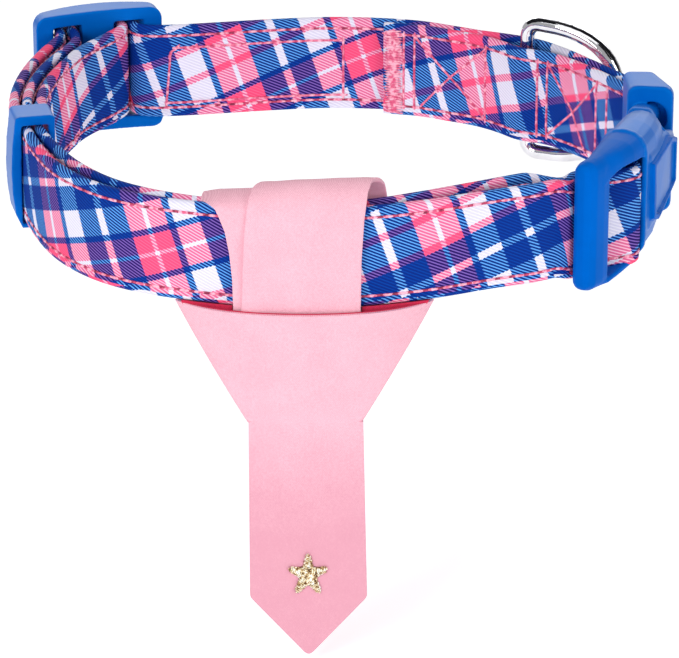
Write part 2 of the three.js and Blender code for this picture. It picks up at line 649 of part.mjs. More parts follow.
function tieKnot() {
  const stations = [knot.left, -15.5, -8, 0, knot.right];
  const band = loft(stations.map((x) => knotSection(x, 0)));
  const thinning = knot.wall - knot.plyWall;
  const plyLean = (knot.plyTop - knot.plyBottom) / 30;
  const edge = (z) => (knot.plyTop + knot.plyBottom) / 2 + plyLean * z;
  const underPly = loft([edge, knot.left + 3].map((x) => knotSection(x, thinning)));
  const opening = loft([-42, -32, ...stations, 20].map((x) => knotSection(x, knot.wall)));
  return geometryOf(solidOf(band).add(solidOf(underPly)).subtract(solidOf(opening)));
}

// The flap is a flat-sided sleeve: wide and open at the top, where it follows the strap and holds
// the bottom of the knot, and closed to a thin double ply at the seam.
function flapSection(z, shrink) {
  const t = (flap.top - z) / (flap.top - flap.bottom);
  const left = THREE.MathUtils.lerp(flap.left, flap.tailLeft, t) + shrink;
  const right = THREE.MathUtils.lerp(flap.right, flap.tailRight, t) - shrink;
  const centre = (left + right) / 2;
  const reach = (right - left) / 2;
  const open = Math.max(0, 1 - t * 1.1) ** 0.8;
  const columns = Array.from({ length: 11 }, (_, k) => centre + reach * (k / 5 - 1));
  const seamFace = front.nose - flap.lip - flap.thin;
  const faceAt = (x) => {
    const q = Math.abs((x - centre) / reach);
    const topFace = frontLine(x) - flap.lip - flap.bulge * (1 - q ** 4);
    return THREE.MathUtils.lerp(topFace, seamFace, Math.min(1, t * 1.05));
  };
  const depthAt = (x) => {
    const q = Math.abs((x - centre) / reach);
    return flap.thin + flap.pouch * open * (1 - q ** 4);
  };
  const faceRow = columns.map((x) => new THREE.Vector3(x, faceAt(x) + shrink, z));
  const backRow = columns.map((x) => new THREE.Vector3(x, faceAt(x) + depthAt(x) - shrink, z));
  return [...faceRow, ...backRow.reverse()];
}

function tieFlap() {
  const heights = [flap.top, -17, -21, -26, -31, -36, flap.bottom];
  const outer = loft(heights.map((z) => flapSection(z, 0)));
  const pocketHeights = [flap.top + 1, flap.top, -17, -21, -26, flap.pocketFloor];
  const pocket = loft(pocketHeights.map((z) => flapSection(z, flap.wall)));
  return geometryOf(solidOf(outer).subtract(solidOf(pocket)));
}

const seamFaceY = front.nose - flap.lip - flap.thin;

function tieTail() {
  const top = flap.bottom - GAP;
  const middle = (tail.left + tail.right) / 2;
  const shape = new THREE.Shape([
    new THREE.Vector2(tail.left, top), new THREE.Vector2(tail.left, tail.cornerLeft),
    new THREE.Vector2(middle, tail.tip), new THREE.Vector2(tail.right, tail.cornerRight),
    new THREE.Vector2(tail.right, top),
  ]);
  const geometry = new THREE.ExtrudeGeometry(shape, { depth: tail.thickness, bevelEnabled: false });
  return geometry.rotateX(Math.PI / 2).translate(0, seamFaceY + tail.thickness, 0);
}

function tieStar() {
  const points = Array.from({ length: 10 }, (_, k) => {
    const r = k % 2 === 0 ? star.radius : star.radius * star.waist;
    const a = Math.PI / 2 + (Math.PI * k) / 5;
    return new THREE.Vector2(r * Math.cos(a), r * Math.sin(a));
  });
  const geometry = new THREE.ExtrudeGeometry(new THREE.Shape(points), {
    depth: star.thickness, bevelEnabled: false,
  });
  const x = (tail.left + tail.right) / 2;
  return geometry.rotateX(Math.PI / 2).translate(x, seamFaceY - GAP, star.z);
}

// ---------------------------------------------------------------- the assembly

const finishes = {
  plaid: { color: 0x3f63b5, roughness: 0.85, metalness: 0 },
  plastic: { color: 0x1a6fd6, roughness: 0.35, metalness: 0 },
  steel: { color: 0xc9ccd2, roughness: 0.15, metalness: 1 },
  cotton: { color: 0xf7c3d3, roughness: 0.9, metalness: 0 },
  thread: { color: 0xe8b64a, roughness: 0.5, metalness: 0.3 },
};

const collar = new THREE.Group();

function addPiece(name, geometry, finish) {
  const mesh = new THREE.Mesh(geometry, new THREE.MeshStandardMaterial(finishes[finish]));
  mesh.name = name;
  collar.add(mesh);
  return mesh;
}

addPiece("strap", strapGeometry(), "plaid");
addPiece("buckle_female", femaleBuckle(), "plastic");
addPiece("buckle_male", maleBuckle(), "plastic");
addPiece("adjuster", adjuster(), "plastic");
addPiece("keeper", keeperLoop(), "plastic");
const leadRingMesh = addPiece("lead_ring", leadRing(), "steel");
leadRingMesh.position.set(ring.x, ring.y, ring.z);
leadRingMesh.rotation.z = THREE.MathUtils.degToRad(ring.turn);
addPiece("tie_knot", tieKnot(), "cotton");
addPiece("tie_flap", tieFlap(), "cotton");
addPiece("tie_tail", tieTail(), "cotton");
addPiece("tie_star", tieStar(), "thread");

export default collar;
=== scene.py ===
import math

import bmesh
import bpy
import numpy as np
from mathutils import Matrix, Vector


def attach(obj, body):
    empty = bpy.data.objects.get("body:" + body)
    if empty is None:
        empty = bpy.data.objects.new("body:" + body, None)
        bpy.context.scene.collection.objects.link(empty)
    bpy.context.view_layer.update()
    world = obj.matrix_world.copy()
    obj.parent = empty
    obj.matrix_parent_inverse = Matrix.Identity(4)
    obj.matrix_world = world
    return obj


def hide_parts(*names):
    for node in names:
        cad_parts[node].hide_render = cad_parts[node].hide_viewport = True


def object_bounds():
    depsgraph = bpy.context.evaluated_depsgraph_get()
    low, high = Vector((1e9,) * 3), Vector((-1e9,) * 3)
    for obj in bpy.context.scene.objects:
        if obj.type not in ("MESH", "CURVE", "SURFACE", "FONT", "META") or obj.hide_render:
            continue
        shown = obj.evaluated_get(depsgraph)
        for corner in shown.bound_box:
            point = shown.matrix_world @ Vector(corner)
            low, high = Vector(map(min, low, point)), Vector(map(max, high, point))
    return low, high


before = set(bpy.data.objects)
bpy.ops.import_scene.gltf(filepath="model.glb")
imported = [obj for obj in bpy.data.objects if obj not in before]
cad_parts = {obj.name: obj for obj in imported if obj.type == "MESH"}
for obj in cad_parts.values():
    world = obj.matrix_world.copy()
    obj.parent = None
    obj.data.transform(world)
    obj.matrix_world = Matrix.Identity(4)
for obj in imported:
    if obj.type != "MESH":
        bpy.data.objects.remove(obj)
cad_box = [list(corner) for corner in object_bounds()]

# ---------------------------------------------------------------- floor, light and camera
# A product table: a matt white floor, faintly lit from below, under the tip of the tie, a white
# room, two soft lights beside the camera, and black and glowing cards that only gloss shows.

FLOOR_DROP = 0.002
FLOOR_GLOW, ROOM_GLOW = 0.42, 0.46
floor_z = cad_box[0][2] - FLOOR_DROP
bpy.ops.mesh.primitive_plane_add(size=12, location=(0, 2, floor_z))
floor = bpy.context.object
floor.name = "floor"


def plain_paint(name, colour, glow=0.0):
    paint_ = bpy.data.materials.new(name)
    paint_.use_nodes = True
    sockets = paint_.node_tree.nodes["Principled BSDF"].inputs
    sockets["Base Color"].default_value = colour
    sockets["Roughness"].default_value = 0.95
    sockets["Specular IOR Level"].default_value = 0.1
    sockets["Emission Color"].default_value = (1, 1, 1, 1)
    sockets["Emission Strength"].default_value = glow
    return paint_


floor.data.materials.append(plain_paint("floor_paint", (0.9, 0.9, 0.9, 1), FLOOR_GLOW))

world = bpy.data.worlds.new("studio")
bpy.context.scene.world = world
world.use_nodes = True
world.node_tree.nodes["Background"].inputs["Color"].default_value = (1, 1, 1, 1)
world.node_tree.nodes["Background"].inputs["Strength"].default_value = ROOM_GLOW


def linked(name, data):
    """A new object at the origin, in the scene."""
    made = bpy.data.objects.new(name, data)
    bpy.context.scene.collection.objects.link(made)
    return made


def facing(place, aim):
    return (Vector(aim) - Vector(place)).to_track_quat("-Z", "Y").to_euler()


def softbox(name, place, aim, width, height, power):
    light = bpy.data.lights.new(name, "AREA")
    light.shape = "RECTANGLE"
    light.size, light.size_y = width, height
    light.energy = power
    lamp = linked(name, light)
    lamp.location = place
    lamp.rotation_euler = facing(place, aim)
    lamp.visible_camera = False
    lamp.visible_glossy = name != "top"


def card(name, place, width, height, glow):
    """A black or glowing card, facing the collar, that only polished surfaces see."""
    bpy.ops.mesh.primitive_plane_add(size=1, location=place, rotation=facing(place, (0, 0, 0)))
    panel = bpy.context.object
    panel.name = name
    panel.scale = (width, height, 1)
    panel.data.materials.append(plain_paint(name, (0.01, 0.01, 0.012, 1), glow))
    panel.visible_camera = False
    panel.visible_diffuse = False
    panel.visible_shadow = False


softbox("key", (-0.7, -1.15, 0.62), (0, 0, -0.02), 0.55, 0.55, 9)
softbox("fill", (0.95, -1.0, 0.35), (0, 0, -0.02), 0.6, 0.6, 5)
softbox("top", (0, 0.1, 1.2), (0, 0, 0), 0.7, 0.7, 2.2)

# The cards: (name, place, width, height, glow).
CARDS = [
    ("back_glow", (0, 1.8, 0.95), 3.2, 1.4, 2.4),
    ("overhead_flag", (0.1, 0.28, 1.6), 2.2, 1.3, 0.0),
    ("front_glow", (0, -0.9, 1.6), 2.4, 0.9, 1.5),
    ("right_flag", (1.7, -0.1, 0.4), 0.7, 0.9, 0.0),
    ("high_right_flag", (1.25, 0.2, 1.1), 1.9, 1.5, 0.0),
    ("left_flag", (-1.0, 0.35, 1.15), 1.9, 1.5, 0.0),
    ("front_right_flag", (0.7, -1.0, 1.2), 0.9, 0.8, 0.0),
    ("low_flag", (-0.5, -0.8, -0.9), 0.9, 0.7, 0.2),
]
for each in CARDS:
    card(*each)

# The lens stands 1.12 m from a point in the middle of the collar and tie.
LOOK_AT = Vector((0, -0.0095, -0.042))
LOOK_DOWN = math.radians(23)
DISTANCE = 1.12
SENSOR_WIDTH, FOCAL_LENGTH = 36, 239.9
camera_data = bpy.data.cameras.new("camera")
camera_data.sensor_width = SENSOR_WIDTH
camera_data.lens = FOCAL_LENGTH
camera = linked("camera", camera_data)
camera.location = LOOK_AT + DISTANCE * Vector((0, -math.cos(LOOK_DOWN), math.sin(LOOK_DOWN)))
camera.rotation_euler = (math.pi / 2 - LOOK_DOWN, 0, 0)
bpy.context.scene.camera = camera
bpy.context.scene.view_settings.view_transform = "Standard"

# ---------------------------------------------------------------- strap
# One long strap of webbing in a sewn sleeve of printed polyester twill, 25 mm wide and 2.6 mm
# thick. It runs from its folded end at the back through both buckle halves, the adjuster and the
# keeper to the sewn end at the left side.

STRAP_WIDTH = 0.025
STRAP_THICKNESS = 0.0026
STRAP_STEP = 0.00092


def merged_copy(node):
    """A copy of a CAD node's mesh with its loose triangles joined at their corners."""
    shape = bmesh.new()
    shape.from_mesh(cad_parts[node].data)
    bmesh.ops.remove_doubles(shape, verts=shape.verts, dist=2e-5)
    return shape


def strap_line():
    """The strap's middle line seen from above, from the folded end to the sewn end."""
    shape = merged_copy("strap")
    top = max(v.co.z for v in shape.verts) - 1e-5
    cap = {f for f in shape.faces if all(v.co.z > top for v in f.verts)}
    rim = {}
    for edge in shape.edges:
        if len(cap.intersection(edge.link_faces)) == 1:
            a, b = edge.verts
            rim.setdefault(a, []).append(b)
            rim.setdefault(b, []).append(a)
    start = min(rim, key=lambda v: v.index)
    loop = [start, rim[start][0]]
    while loop[-1] is not start:
        loop.append(next(v for v in rim[loop[-1]] if v is not loop[-2]))
    outline = np.array([v.co.xy for v in loop[:-1]])
    shape.free()
    side = np.roll(outline, -1, 0) - outline
    length = np.linalg.norm(side, axis=1)
    heading = np.arctan2(side[:, 1], side[:, 0])
    turn = (heading - np.roll(heading, 1) + math.pi) % math.tau - math.pi
    after = np.roll(turn, -1)
    square = (abs(length - STRAP_THICKNESS) < 2e-5) & (turn * after > 0)
    ends = np.argsort(np.where(square, abs(turn) + abs(after), 0))[-2:]
    outline = np.roll(outline, -(ends[0] + 1), 0)
    half = len(outline) // 2
    middle = (outline[:half] + outline[half:][::-1]) / 2
    return middle if middle[0, 1] > middle[-1, 1] else middle[::-1]


def smooth_line(points, step):
    """Points about `step` apart on a centripetal Catmull-Rom curve through the given ones."""
    ends = [2 * points[0] - points[1]], [2 * points[-1] - points[-2]]
    p = np.concatenate([ends[0], points, ends[1]])
    fine = []
    for a, b, c, d in zip(p, p[1:], p[2:], p[3:]):
        t1 = math.sqrt(np.linalg.norm(b - a))
        t2 = t1 + math.sqrt(np.linalg.norm(c - b))
        t3 = t2 + math.sqrt(np.linalg.norm(d - c))
        t = np.linspace(t1, t2, 9)[:-1, None]
        ab = (a * (t1 - t) + b * t) / t1
        bc = (b * (t2 - t) + c * (t - t1)) / (t2 - t1)
        cd = (c * (t3 - t) + d * (t - t2)) / (t3 - t2)
        abc = (ab * (t2 - t) + bc * t) / t2
        bcd = (bc * (t3 - t) + cd * (t - t1)) / (t3 - t1)
        fine.append((abc * (t2 - t) + bcd * (t - t1)) / (t2 - t1))
    fine = np.concatenate(fine + [points[-1:]])
    along = np.concatenate([[0], np.cumsum(np.linalg.norm(np.diff(fine, axis=0), axis=1))])
    at = np.linspace(0, along[-1], math.ceil(along[-1] / step) + 1)
    return at, np.stack([np.interp(at, along, fine[:, k]) for k in range(2)], axis=1)


strap_at, strap_middle = smooth_line(strap_line(), STRAP_STEP)
strap_heading = np.gradient(strap_middle, axis=0)
strap_heading /= np.linalg.norm(strap_heading, axis=1, keepdims=True)
strap_inward = np.stack([-strap_heading[:, 1], strap_heading[:, 0]], axis=1)

# The sleeve's section: flat faces that dip at the two seams, 2.7 mm from the round edges.
SEAM_INSET = 0.0027
SEAM_DIP = 0.00024
SEAM_SPREAD = 0.0010
SEAM_PULL = 0.00016
TOP_STITCH = 0.0037
EDGE_STEPS = 6
# The buckle is bent to an arc seen from above, which starts at its front bar.
BEND_START, BEND_RADIUS, BEND_HEADING = np.array([0.0596, -0.0446]), 0.117, math.radians(58.6)
bend_middle = BEND_START + BEND_RADIUS * np.array([-math.sin(BEND_HEADING), math.cos(BEND_HEADING)])
# The strap hangs lower and stands out a little where it turns round the buckle's front bar. Each
# span is (from, to), in distances along the buckle or outwards from its middle line.
DROOP, RIM_BULGE = 0.0024, 0.0009
DROOP_GROWS, DROOP_FADES = (-0.009, 0.0005), (0.024, 0.034)
BULGE_GROWS, BULGE_OUTSIDE, BULGE_END = (0.008, 0.015), (-0.0005, 0.0025), 0.03


def ease(value, low, high):
    """0 below the low end, 1 above the high end, and smooth between."""
    t = np.clip((value - low) / (high - low), 0, 1)
    return t * t * (3 - 2 * t)


def along_buckle(places):
    """Distance along the buckle from its front bar, and outwards from its middle line."""
    spoke = places - bend_middle
    turned = np.arctan2(spoke[..., 1], spoke[..., 0]) - BEND_HEADING + math.pi / 2
    return BEND_RADIUS * turned, np.linalg.norm(spoke, axis=-1) - BEND_RADIUS


def droop(places):
    """How far the strap hangs below its level at these places, seen from above."""
    along, _ = along_buckle(places)
    return DROOP * ease(along, *DROOP_GROWS) * (1 - ease(along, *DROOP_FADES))


past_bar, strap_out = along_buckle(strap_middle)
bulge = RIM_BULGE * ease(past_bar, *BULGE_GROWS) * ease(strap_out, *BULGE_OUTSIDE)
bulge *= past_bar < BULGE_END
strap_middle = strap_middle + (strap_middle - bend_middle) * (bulge / (BEND_RADIUS + strap_out))[:, None]


def face_height(z):
    """How far the strap's face stands from its middle at this height."""
    dip = np.exp(-(((STRAP_WIDTH / 2 - SEAM_INSET) - abs(z)) / SEAM_SPREAD) ** 2)
    return STRAP_THICKNESS / 2 - SEAM_DIP * dip


def strap_section():
    """(outward distance, height) round the sleeve, from the foot of the outer face over the top."""
    flat = STRAP_WIDTH / 2 - STRAP_THICKNESS / 2
    near = [flat, flat - 0.0006, flat - 0.0011, flat - 0.0015, flat - 0.002, flat - 0.0027]
    heights = np.array(near + [0.0065, 0.0035, 0, -0.0035, -0.0065] + [-z for z in near[::-1]])
    outer = [(face_height(z), z) for z in heights[::-1]]
    arc = np.linspace(0, math.pi, EDGE_STEPS + 1)[1:-1]
    over = [(STRAP_THICKNESS / 2 * math.cos(a), flat + STRAP_THICKNESS / 2 * math.sin(a)) for a in arc]
    inner = [(-face_height(z), z) for z in heights]
    under = [(-x, -z) for x, z in over]
    return np.array(outer + over + inner + under)


# The print's own axes lie 19 degrees off the strap. It is shifted from place to place so that its
# bands fall where they do on the real collar: (distance along the strap, shift along the print,
# shift across it), in millimetres.
PRINT_TURN = math.radians(19)
PRINT_SHIFTS = [
    (0, 0, 0), (45, -2.4, 0), (75, -2.2, 0.5), (192, -1.8, 3.0), (234, -2.6, 6.1), (262, -2.6, 7.5),
    (318, -2.4, 3.0), (362, -1.8, 3.0), (376, 1.8, 3.0), (415, 2.3, 3.0), (470, 0.2, 5.0), (880, 0, 5.0),
]


def strap_mesh():
    section = strap_section()
    size, rows = len(section), len(strap_at)
    closed = np.concatenate([section, section[:1]])
    across = np.concatenate([[0], np.cumsum(np.linalg.norm(np.diff(closed, axis=0), axis=1))])
    across += section[0, 1]
    points = np.zeros((rows, size, 3))
    # Each stitch pulls the cloth in at its needle holes, so the edges pucker between them.
    pull = np.cos(math.tau * (strap_at / TOP_STITCH - 0.5)) * 0.5 + 0.5
    near = np.exp(-((abs(section[:, 1]) - STRAP_WIDTH / 2 + SEAM_INSET) / (1.8 * SEAM_SPREAD)) ** 2)
    squeeze = 1 - SEAM_PULL / (STRAP_THICKNESS / 2) * pull[:, None] * near[None, :]
    outward = (section[None, :, 0] * squeeze)[..., None]
    points[..., :2] = strap_middle[:, None] - strap_inward[:, None] * outward
    points[..., 2] = section[:, 1] - droop(strap_middle)[:, None]
    faces, prints = [], []
    shifts = np.array(PRINT_SHIFTS) / 1000
    slip = [np.interp(strap_at, shifts[:, 0], shifts[:, k]) for k in (1, 2)]
    c, s = math.cos(PRINT_TURN), math.sin(PRINT_TURN)
    for i in range(rows - 1):
        for j in range(size):
            k = (j + 1) % size
            faces.append((i * size + j, i * size + k, (i + 1) * size + k, (i + 1) * size + j))
            for row, v in ((i, across[j]), (i, across[j + 1]), (i + 1, across[j + 1]), (i + 1, across[j])):
                u = strap_at[row]
                prints.append((u * c + v * s - slip[0][row], -u * s + v * c - slip[1][row]))
    for row in (0, rows - 1):
        ring = [row * size + j for j in range(size)]
        faces.append(ring if row else ring[::-1])
        prints += [(u, v) for u, v in section[:: 1 if row else -1]]
    mesh = bpy.data.meshes.new("strap_sleeve")
    mesh.from_pydata(points.reshape(-1, 3).tolist(), [], faces)
    layer = mesh.uv_layers.new(name="print")
    layer.data.foreach_set("uv", np.array(prints, np.float32).ravel())
    mesh.polygons.foreach_set("use_smooth", [True] * len(mesh.polygons))
    mesh.update()
    return mesh


def add_piece(name, mesh, material, node, body="collar", more=()):
    """A finished piece: its object at the origin, riding on its body and standing for its node."""
    piece = linked(name, mesh)
    worn = np.zeros(len(mesh.polygons), np.int32)
    mesh.polygons.foreach_get("material_index", worn)
    mesh.materials.clear()
    for finish in [material, *more]:
        mesh.materials.append(finish)
    mesh.polygons.foreach_set("material_index", worn)
    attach(piece, body)
    if node:
        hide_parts(node)
    return piece


class Strand:
    """A shader socket that can stand in a sum: each operator adds its Math node."""

    def __init__(self, tree, socket=None):
        self.tree = tree
        self.socket = socket

    def node(self, kind, settings, inputs, output=0):
        made = self.tree.nodes.new(kind)
        for key, value in settings.items():
            if key == "stops":
                while len(made.color_ramp.elements) < len(value):
                    made.color_ramp.elements.new(1)
                for element, (position, colour) in zip(made.color_ramp.elements, value):
                    element.position = position
                    element.color = colour
            elif key == "steps":
                made.color_ramp.interpolation = value
            else:
                setattr(made, key, value)
        for key, value in inputs.items():
            if isinstance(value, Strand):
                self.tree.links.new(value.socket, made.inputs[key])
            else:
                made.inputs[key].default_value = value
        return Strand(self.tree, made.outputs[output])

    def sum(self, operation, a, b=0.0):
        return self.node("ShaderNodeMath", {"operation": operation}, {0: a, 1: b})

    def __add__(self, other):
        return self.sum("ADD", self, other)

    def __sub__(self, other):
        return self.sum("SUBTRACT", self, other)

    def __mul__(self, other):
        return self.sum("MULTIPLY", self, other)

    def __truediv__(self, other):
        return self.sum("DIVIDE", self, other)

    def __rsub__(self, other):
        return self.sum("SUBTRACT", other, self)

    __radd__ = __add__
    __rmul__ = __mul__


def new_finish(name, roughness):
    """A material and a Strand to start its expressions from."""
    material = bpy.data.materials.new(name)
    material.use_nodes = True
    shader = material.node_tree.nodes["Principled BSDF"]
    shader.inputs["Roughness"].default_value = roughness
    return material, shader, Strand(material.node_tree)


def paint(shader, start, **inputs):
    """Links expressions to the shader's sockets."""
    for name, value in inputs.items():
        start.tree.links.new(value.socket, shader.inputs[name.replace("_", " ")])


def ramp(value, stops, steps="LINEAR"):
    """The colour at this value, from (position, colour) stops."""
    return value.node("ShaderNodeValToRGB", {"stops": stops, "steps": steps}, {0: value})


def relief(height, strength, distance):
    """The normal of a surface that stands this many metres high where the height is 1."""
    depth = {"Strength": strength, "Distance": distance, "Height": height}
    return height.node("ShaderNodeBump", {}, depth)


def shade(red, green, blue):
    """A display colour, 0 to 255, as the light it reflects."""
    shares = [c / 255 for c in (red, green, blue)]
    return (*(((c + 0.055) / 1.055) ** 2.4 if c > 10 / 255 else c / 12.92 for c in shares), 1)


# The bands of the print in millimetres, by the dye they carry: white, blue or pink. One family
# runs down the cloth and the other across it, and where two dyes meet the twill's ribs show both.
WHITE, BLUE, PINK = 0, 1, 3
DOWN_BANDS = [
    (PINK, 4.55), (WHITE, 1.1), (PINK, 4.55), (BLUE, 1.85), (WHITE, 6.4), (BLUE, 6.4), (WHITE, 2.1),
    (BLUE, 6.41),
]
ACROSS_BANDS = [
    (BLUE, 1.4), (WHITE, 6.4), (BLUE, 5.9), (WHITE, 1.9), (BLUE, 5.8), (PINK, 1.9), (WHITE, 6.0),
    (PINK, 1.9), (WHITE, 6.1), (BLUE, 1.4), (PINK, 4.4), (WHITE, 1.0), (PINK, 4.45),
]
DOWN_START = 21.6
ACROSS_START = 9.8
RIB_SPACING = 0.72
RIB_JAG = 0.28
RIB_EDGE = (0.44, 0.80)
MOST_DYE = 7
# Each sum of two dyes has a colour for the ribs' hollows and one for their crests. Besides the dyes, the
# hollows carry painted shade and the crests painted light; where both dyes are one, that is all that parts
# them.
SHADED_RIB_DYES = {
    WHITE + WHITE: (218, 215, 236), BLUE + WHITE: (0, 42, 124), BLUE + BLUE: (0, 42, 130),
    PINK + WHITE: (226, 104, 150), PINK + BLUE: (38, 16, 96), PINK + PINK: (246, 76, 122),
}
LIT_RIB_DYES = {
    WHITE + WHITE: (236, 234, 247), BLUE + WHITE: (96, 170, 248), BLUE + BLUE: (0, 62, 158),
    PINK + WHITE: (252, 192, 216), PINK + BLUE: (128, 98, 188), PINK + PINK: (252, 100, 142),
}


def band_dye(start, along, bands, origin):
    """The dye at a distance along the print's repeat."""
    repeat = sum(width for _, width in bands)
    stops, at = [], 0
    for dye, width in bands:
        stops.append((at / repeat, (dye / PINK, dye / PINK, dye / PINK, 1)))
        at += width
    return ramp(start.sum("FRACT", (along - origin) / repeat), stops, "CONSTANT") * PINK


def printed_twill():
    material, shader, start = new_finish("printed_twill", 0.82)
    uv = start.node("ShaderNodeUVMap", {"uv_map": "print"}, {})
    millimetres = start.node("ShaderNodeVectorMath", {"operation": "SCALE"}, {0: uv, "Scale": 1000})
    axes = start.node("ShaderNodeSeparateXYZ", {}, {0: millimetres})
    a, b = axes, Strand(start.tree, axes.socket.node.outputs[1])
    rib = start.sum("FRACT", (a + b) / (RIB_SPACING * math.sqrt(2)))
    jag = (rib - 0.5) * RIB_JAG
    down = band_dye(start, a + jag, DOWN_BANDS, DOWN_START)
    across = band_dye(start, b - jag, ACROSS_BANDS, ACROSS_START)
    mix = (down + across + 0.5) / MOST_DYE

    def chart(inks):
        stops = [(dye / MOST_DYE, shade(*ink)) for dye, ink in sorted(inks.items())]
        return ramp(mix, stops, "CONSTANT")

    # Each rib's crest takes the lit colour and its hollow the shaded one: painted light and shade on the
    # ribs, besides the bump.
    crest = start.sum("ABSOLUTE", rib - 0.5) * 2
    lit = start.node(
        "ShaderNodeMapRange", {"interpolation_type": "SMOOTHSTEP"},
        {"Value": crest, "From Min": RIB_EDGE[0], "From Max": RIB_EDGE[1]},
    )
    ribs = {0: lit, 6: chart(SHADED_RIB_DYES), 7: chart(LIT_RIB_DYES)}
    colour = start.node("ShaderNodeMix", {"data_type": "RGBA"}, ribs, 2)
    paint(shader, start, Base_Color=colour, Normal=relief(crest, 0.35, 0.00012))
    shader.inputs["Specular IOR Level"].default_value = 0.1
    return material


def noise(start, scale, detail, **more):
    """Cloudy noise through the object's own space, from 0 to 1."""
    place = start.node("ShaderNodeTexCoord", {}, {}, 3)
    return start.node("ShaderNodeTexNoise", {}, {"Vector": place, "Scale": scale, "Detail": detail, **more})


twill = printed_twill()
add_piece("strap_sleeve", strap_mesh(), twill, "strap")

# ---------------------------------------------------------------- stitching on the strap
# Pink polyester thread. Two topstitched seams close the sleeve on both faces, a wide satin bar
# tack covers its folded end, and boxes and crosses sew the doubled plies together. Dark red and
# rose cords laid under the stitches are painted shadow.

THREAD_RADIUS = 0.00039
THREAD_GRAIN = 900.0
BOX_STITCH = 0.0026
SEAM_START, SEAM_STOP = 0.0012, 0.001
SEAM_HEIGHT = STRAP_WIDTH / 2 - SEAM_INSET


def on_face(along, heights, side, lift):
    """Points on one face of the strap: side is 1 for the face towards the neck, -1 for the other."""
    middle = np.stack([np.interp(along, strap_at, strap_middle[:, k]) for k in range(2)], axis=1)
    inward = np.stack([np.interp(along, strap_at, strap_inward[:, k]) for k in range(2)], axis=1)
    low = droop(middle)
    middle += inward * side * (face_height(heights) + lift)[:, None]
    return np.column_stack([middle, heights - low])


def seam_run(corners, side, lift=0.0, step=0.0005):
    """A sewn line through (distance along the strap, height) corners, as closely spaced points."""
    corners = np.array(corners, float)
    far = np.concatenate([[0], np.cumsum(np.linalg.norm(np.diff(corners, axis=0), axis=1))])
    at = np.linspace(0, far[-1], max(2, math.ceil(far[-1] / step)))
    return on_face(np.interp(at, far, corners[:, 0]), np.interp(at, far, corners[:, 1]), side, lift)


def runs_object(name, runs):
    """One object that holds each run as a chain of edges."""
    points, edges = [], []
    for run in runs:
        first = len(points)
        points += [tuple(p) for p in run]
        edges += [(first + k, first + k + 1) for k in range(len(run) - 1)]
    mesh = bpy.data.meshes.new(name)
    mesh.from_pydata(points, edges, [])
    return linked(name, mesh)


def new_tree(name, inputs):
    """A Geometry Nodes tree with named inputs, and a way to add nodes to it."""
    tree = bpy.data.node_groups.new(name, "GeometryNodeTree")
    tree.interface.new_socket("Geometry", in_out="INPUT", socket_type="NodeSocketGeometry")
    tree.interface.new_socket("Geometry", in_out="OUTPUT", socket_type="NodeSocketGeometry")
    for label, kind in inputs:
        tree.interface.new_socket(label, in_out="INPUT", socket_type=kind)
    given = tree.nodes.new("NodeGroupInput")

    def add(kind, settings, links):
        made = tree.nodes.new(kind)
        for key, value in settings.items():
            setattr(made, key, value)
        for key, value in links.items():
            if isinstance(value, bpy.types.NodeSocket):
                tree.links.new(value, made.inputs[key])
            else:
                made.inputs[key].default_value = value
        return made.outputs[0] if made.outputs else None

    return tree, given.outputs, add


def stitch_tree():
    """Spindle-shaped stitches of one length, laid end to end along each run."""
    tree, given, add = new_tree("stitch_rows", [
        ("Pitch", "NodeSocketFloat"), ("Length", "NodeSocketFloat"), ("Radius", "NodeSocketFloat"),
        ("Thread", "NodeSocketMaterial"),
    ])
    curve = add("GeometryNodeMeshToCurve", {}, {0: given["Geometry"]})
    pitch = {"Curve": curve, "Length": given["Pitch"]}
    spaced = add("GeometryNodeResampleCurve", {"mode": "LENGTH"}, pitch)
    along = add("GeometryNodeInputTangent", {}, {})
    turn = add("FunctionNodeAlignRotationToVector", {"axis": "Z"}, {"Vector": along})
    ball = add("GeometryNodeMeshUVSphere", {}, {"Segments": 6, "Rings": 6, "Radius": 1.0})
    half = add("ShaderNodeMath", {"operation": "DIVIDE"}, {0: given["Length"], 1: 2.0})
    scale = add("ShaderNodeCombineXYZ", {}, {0: given["Radius"], 1: given["Radius"], 2: half})
    stitch = add("GeometryNodeTransform", {}, {"Geometry": ball, "Scale": scale})
    laid = {"Points": spaced, "Instance": stitch, "Rotation": turn}
    placed = add("GeometryNodeInstanceOnPoints", {}, laid)
    real = add("GeometryNodeRealizeInstances", {}, {0: placed})
    round_ = add("GeometryNodeSetShadeSmooth", {}, {0: real})
    dyed = add("GeometryNodeSetMaterial", {}, {"Geometry": round_, "Material": given["Thread"]})
    add("NodeGroupOutput", {}, {0: dyed})
    return tree


def cord_tree():
    """A round thread that follows each run without a break."""
    tree, given, add = new_tree("thread_path", [
        ("Radius", "NodeSocketFloat"), ("Thread", "NodeSocketMaterial"),
    ])
    curve = add("GeometryNodeMeshToCurve", {}, {0: given["Geometry"]})
    circle = add("GeometryNodeCurvePrimitiveCircle", {}, {"Resolution": 6, "Radius": given["Radius"]})
    tube = add("GeometryNodeCurveToMesh", {}, {"Curve": curve, "Profile Curve": circle, "Fill Caps": True})
    real = add("GeometryNodeRealizeInstances", {}, {0: tube})
    round_ = add("GeometryNodeSetShadeSmooth", {}, {0: real})
    dyed = add("GeometryNodeSetMaterial", {}, {"Geometry": round_, "Material": given["Thread"]})
    add("NodeGroupOutput", {}, {0: dyed})
    return tree


def baked(body, smooth=True):
    """The plain mesh that an object's modifiers make, with the object taken away again."""
    bpy.context.view_layer.update()
    evaluated = body.evaluated_get(bpy.context.evaluated_depsgraph_get())
    mesh = bpy.data.meshes.new_from_object(evaluated)
    name = body.name
    bpy.data.objects.remove(body)
    if smooth:
        mesh.polygons.foreach_set("use_smooth", [True] * len(mesh.polygons))
    mesh.name = name
    return mesh


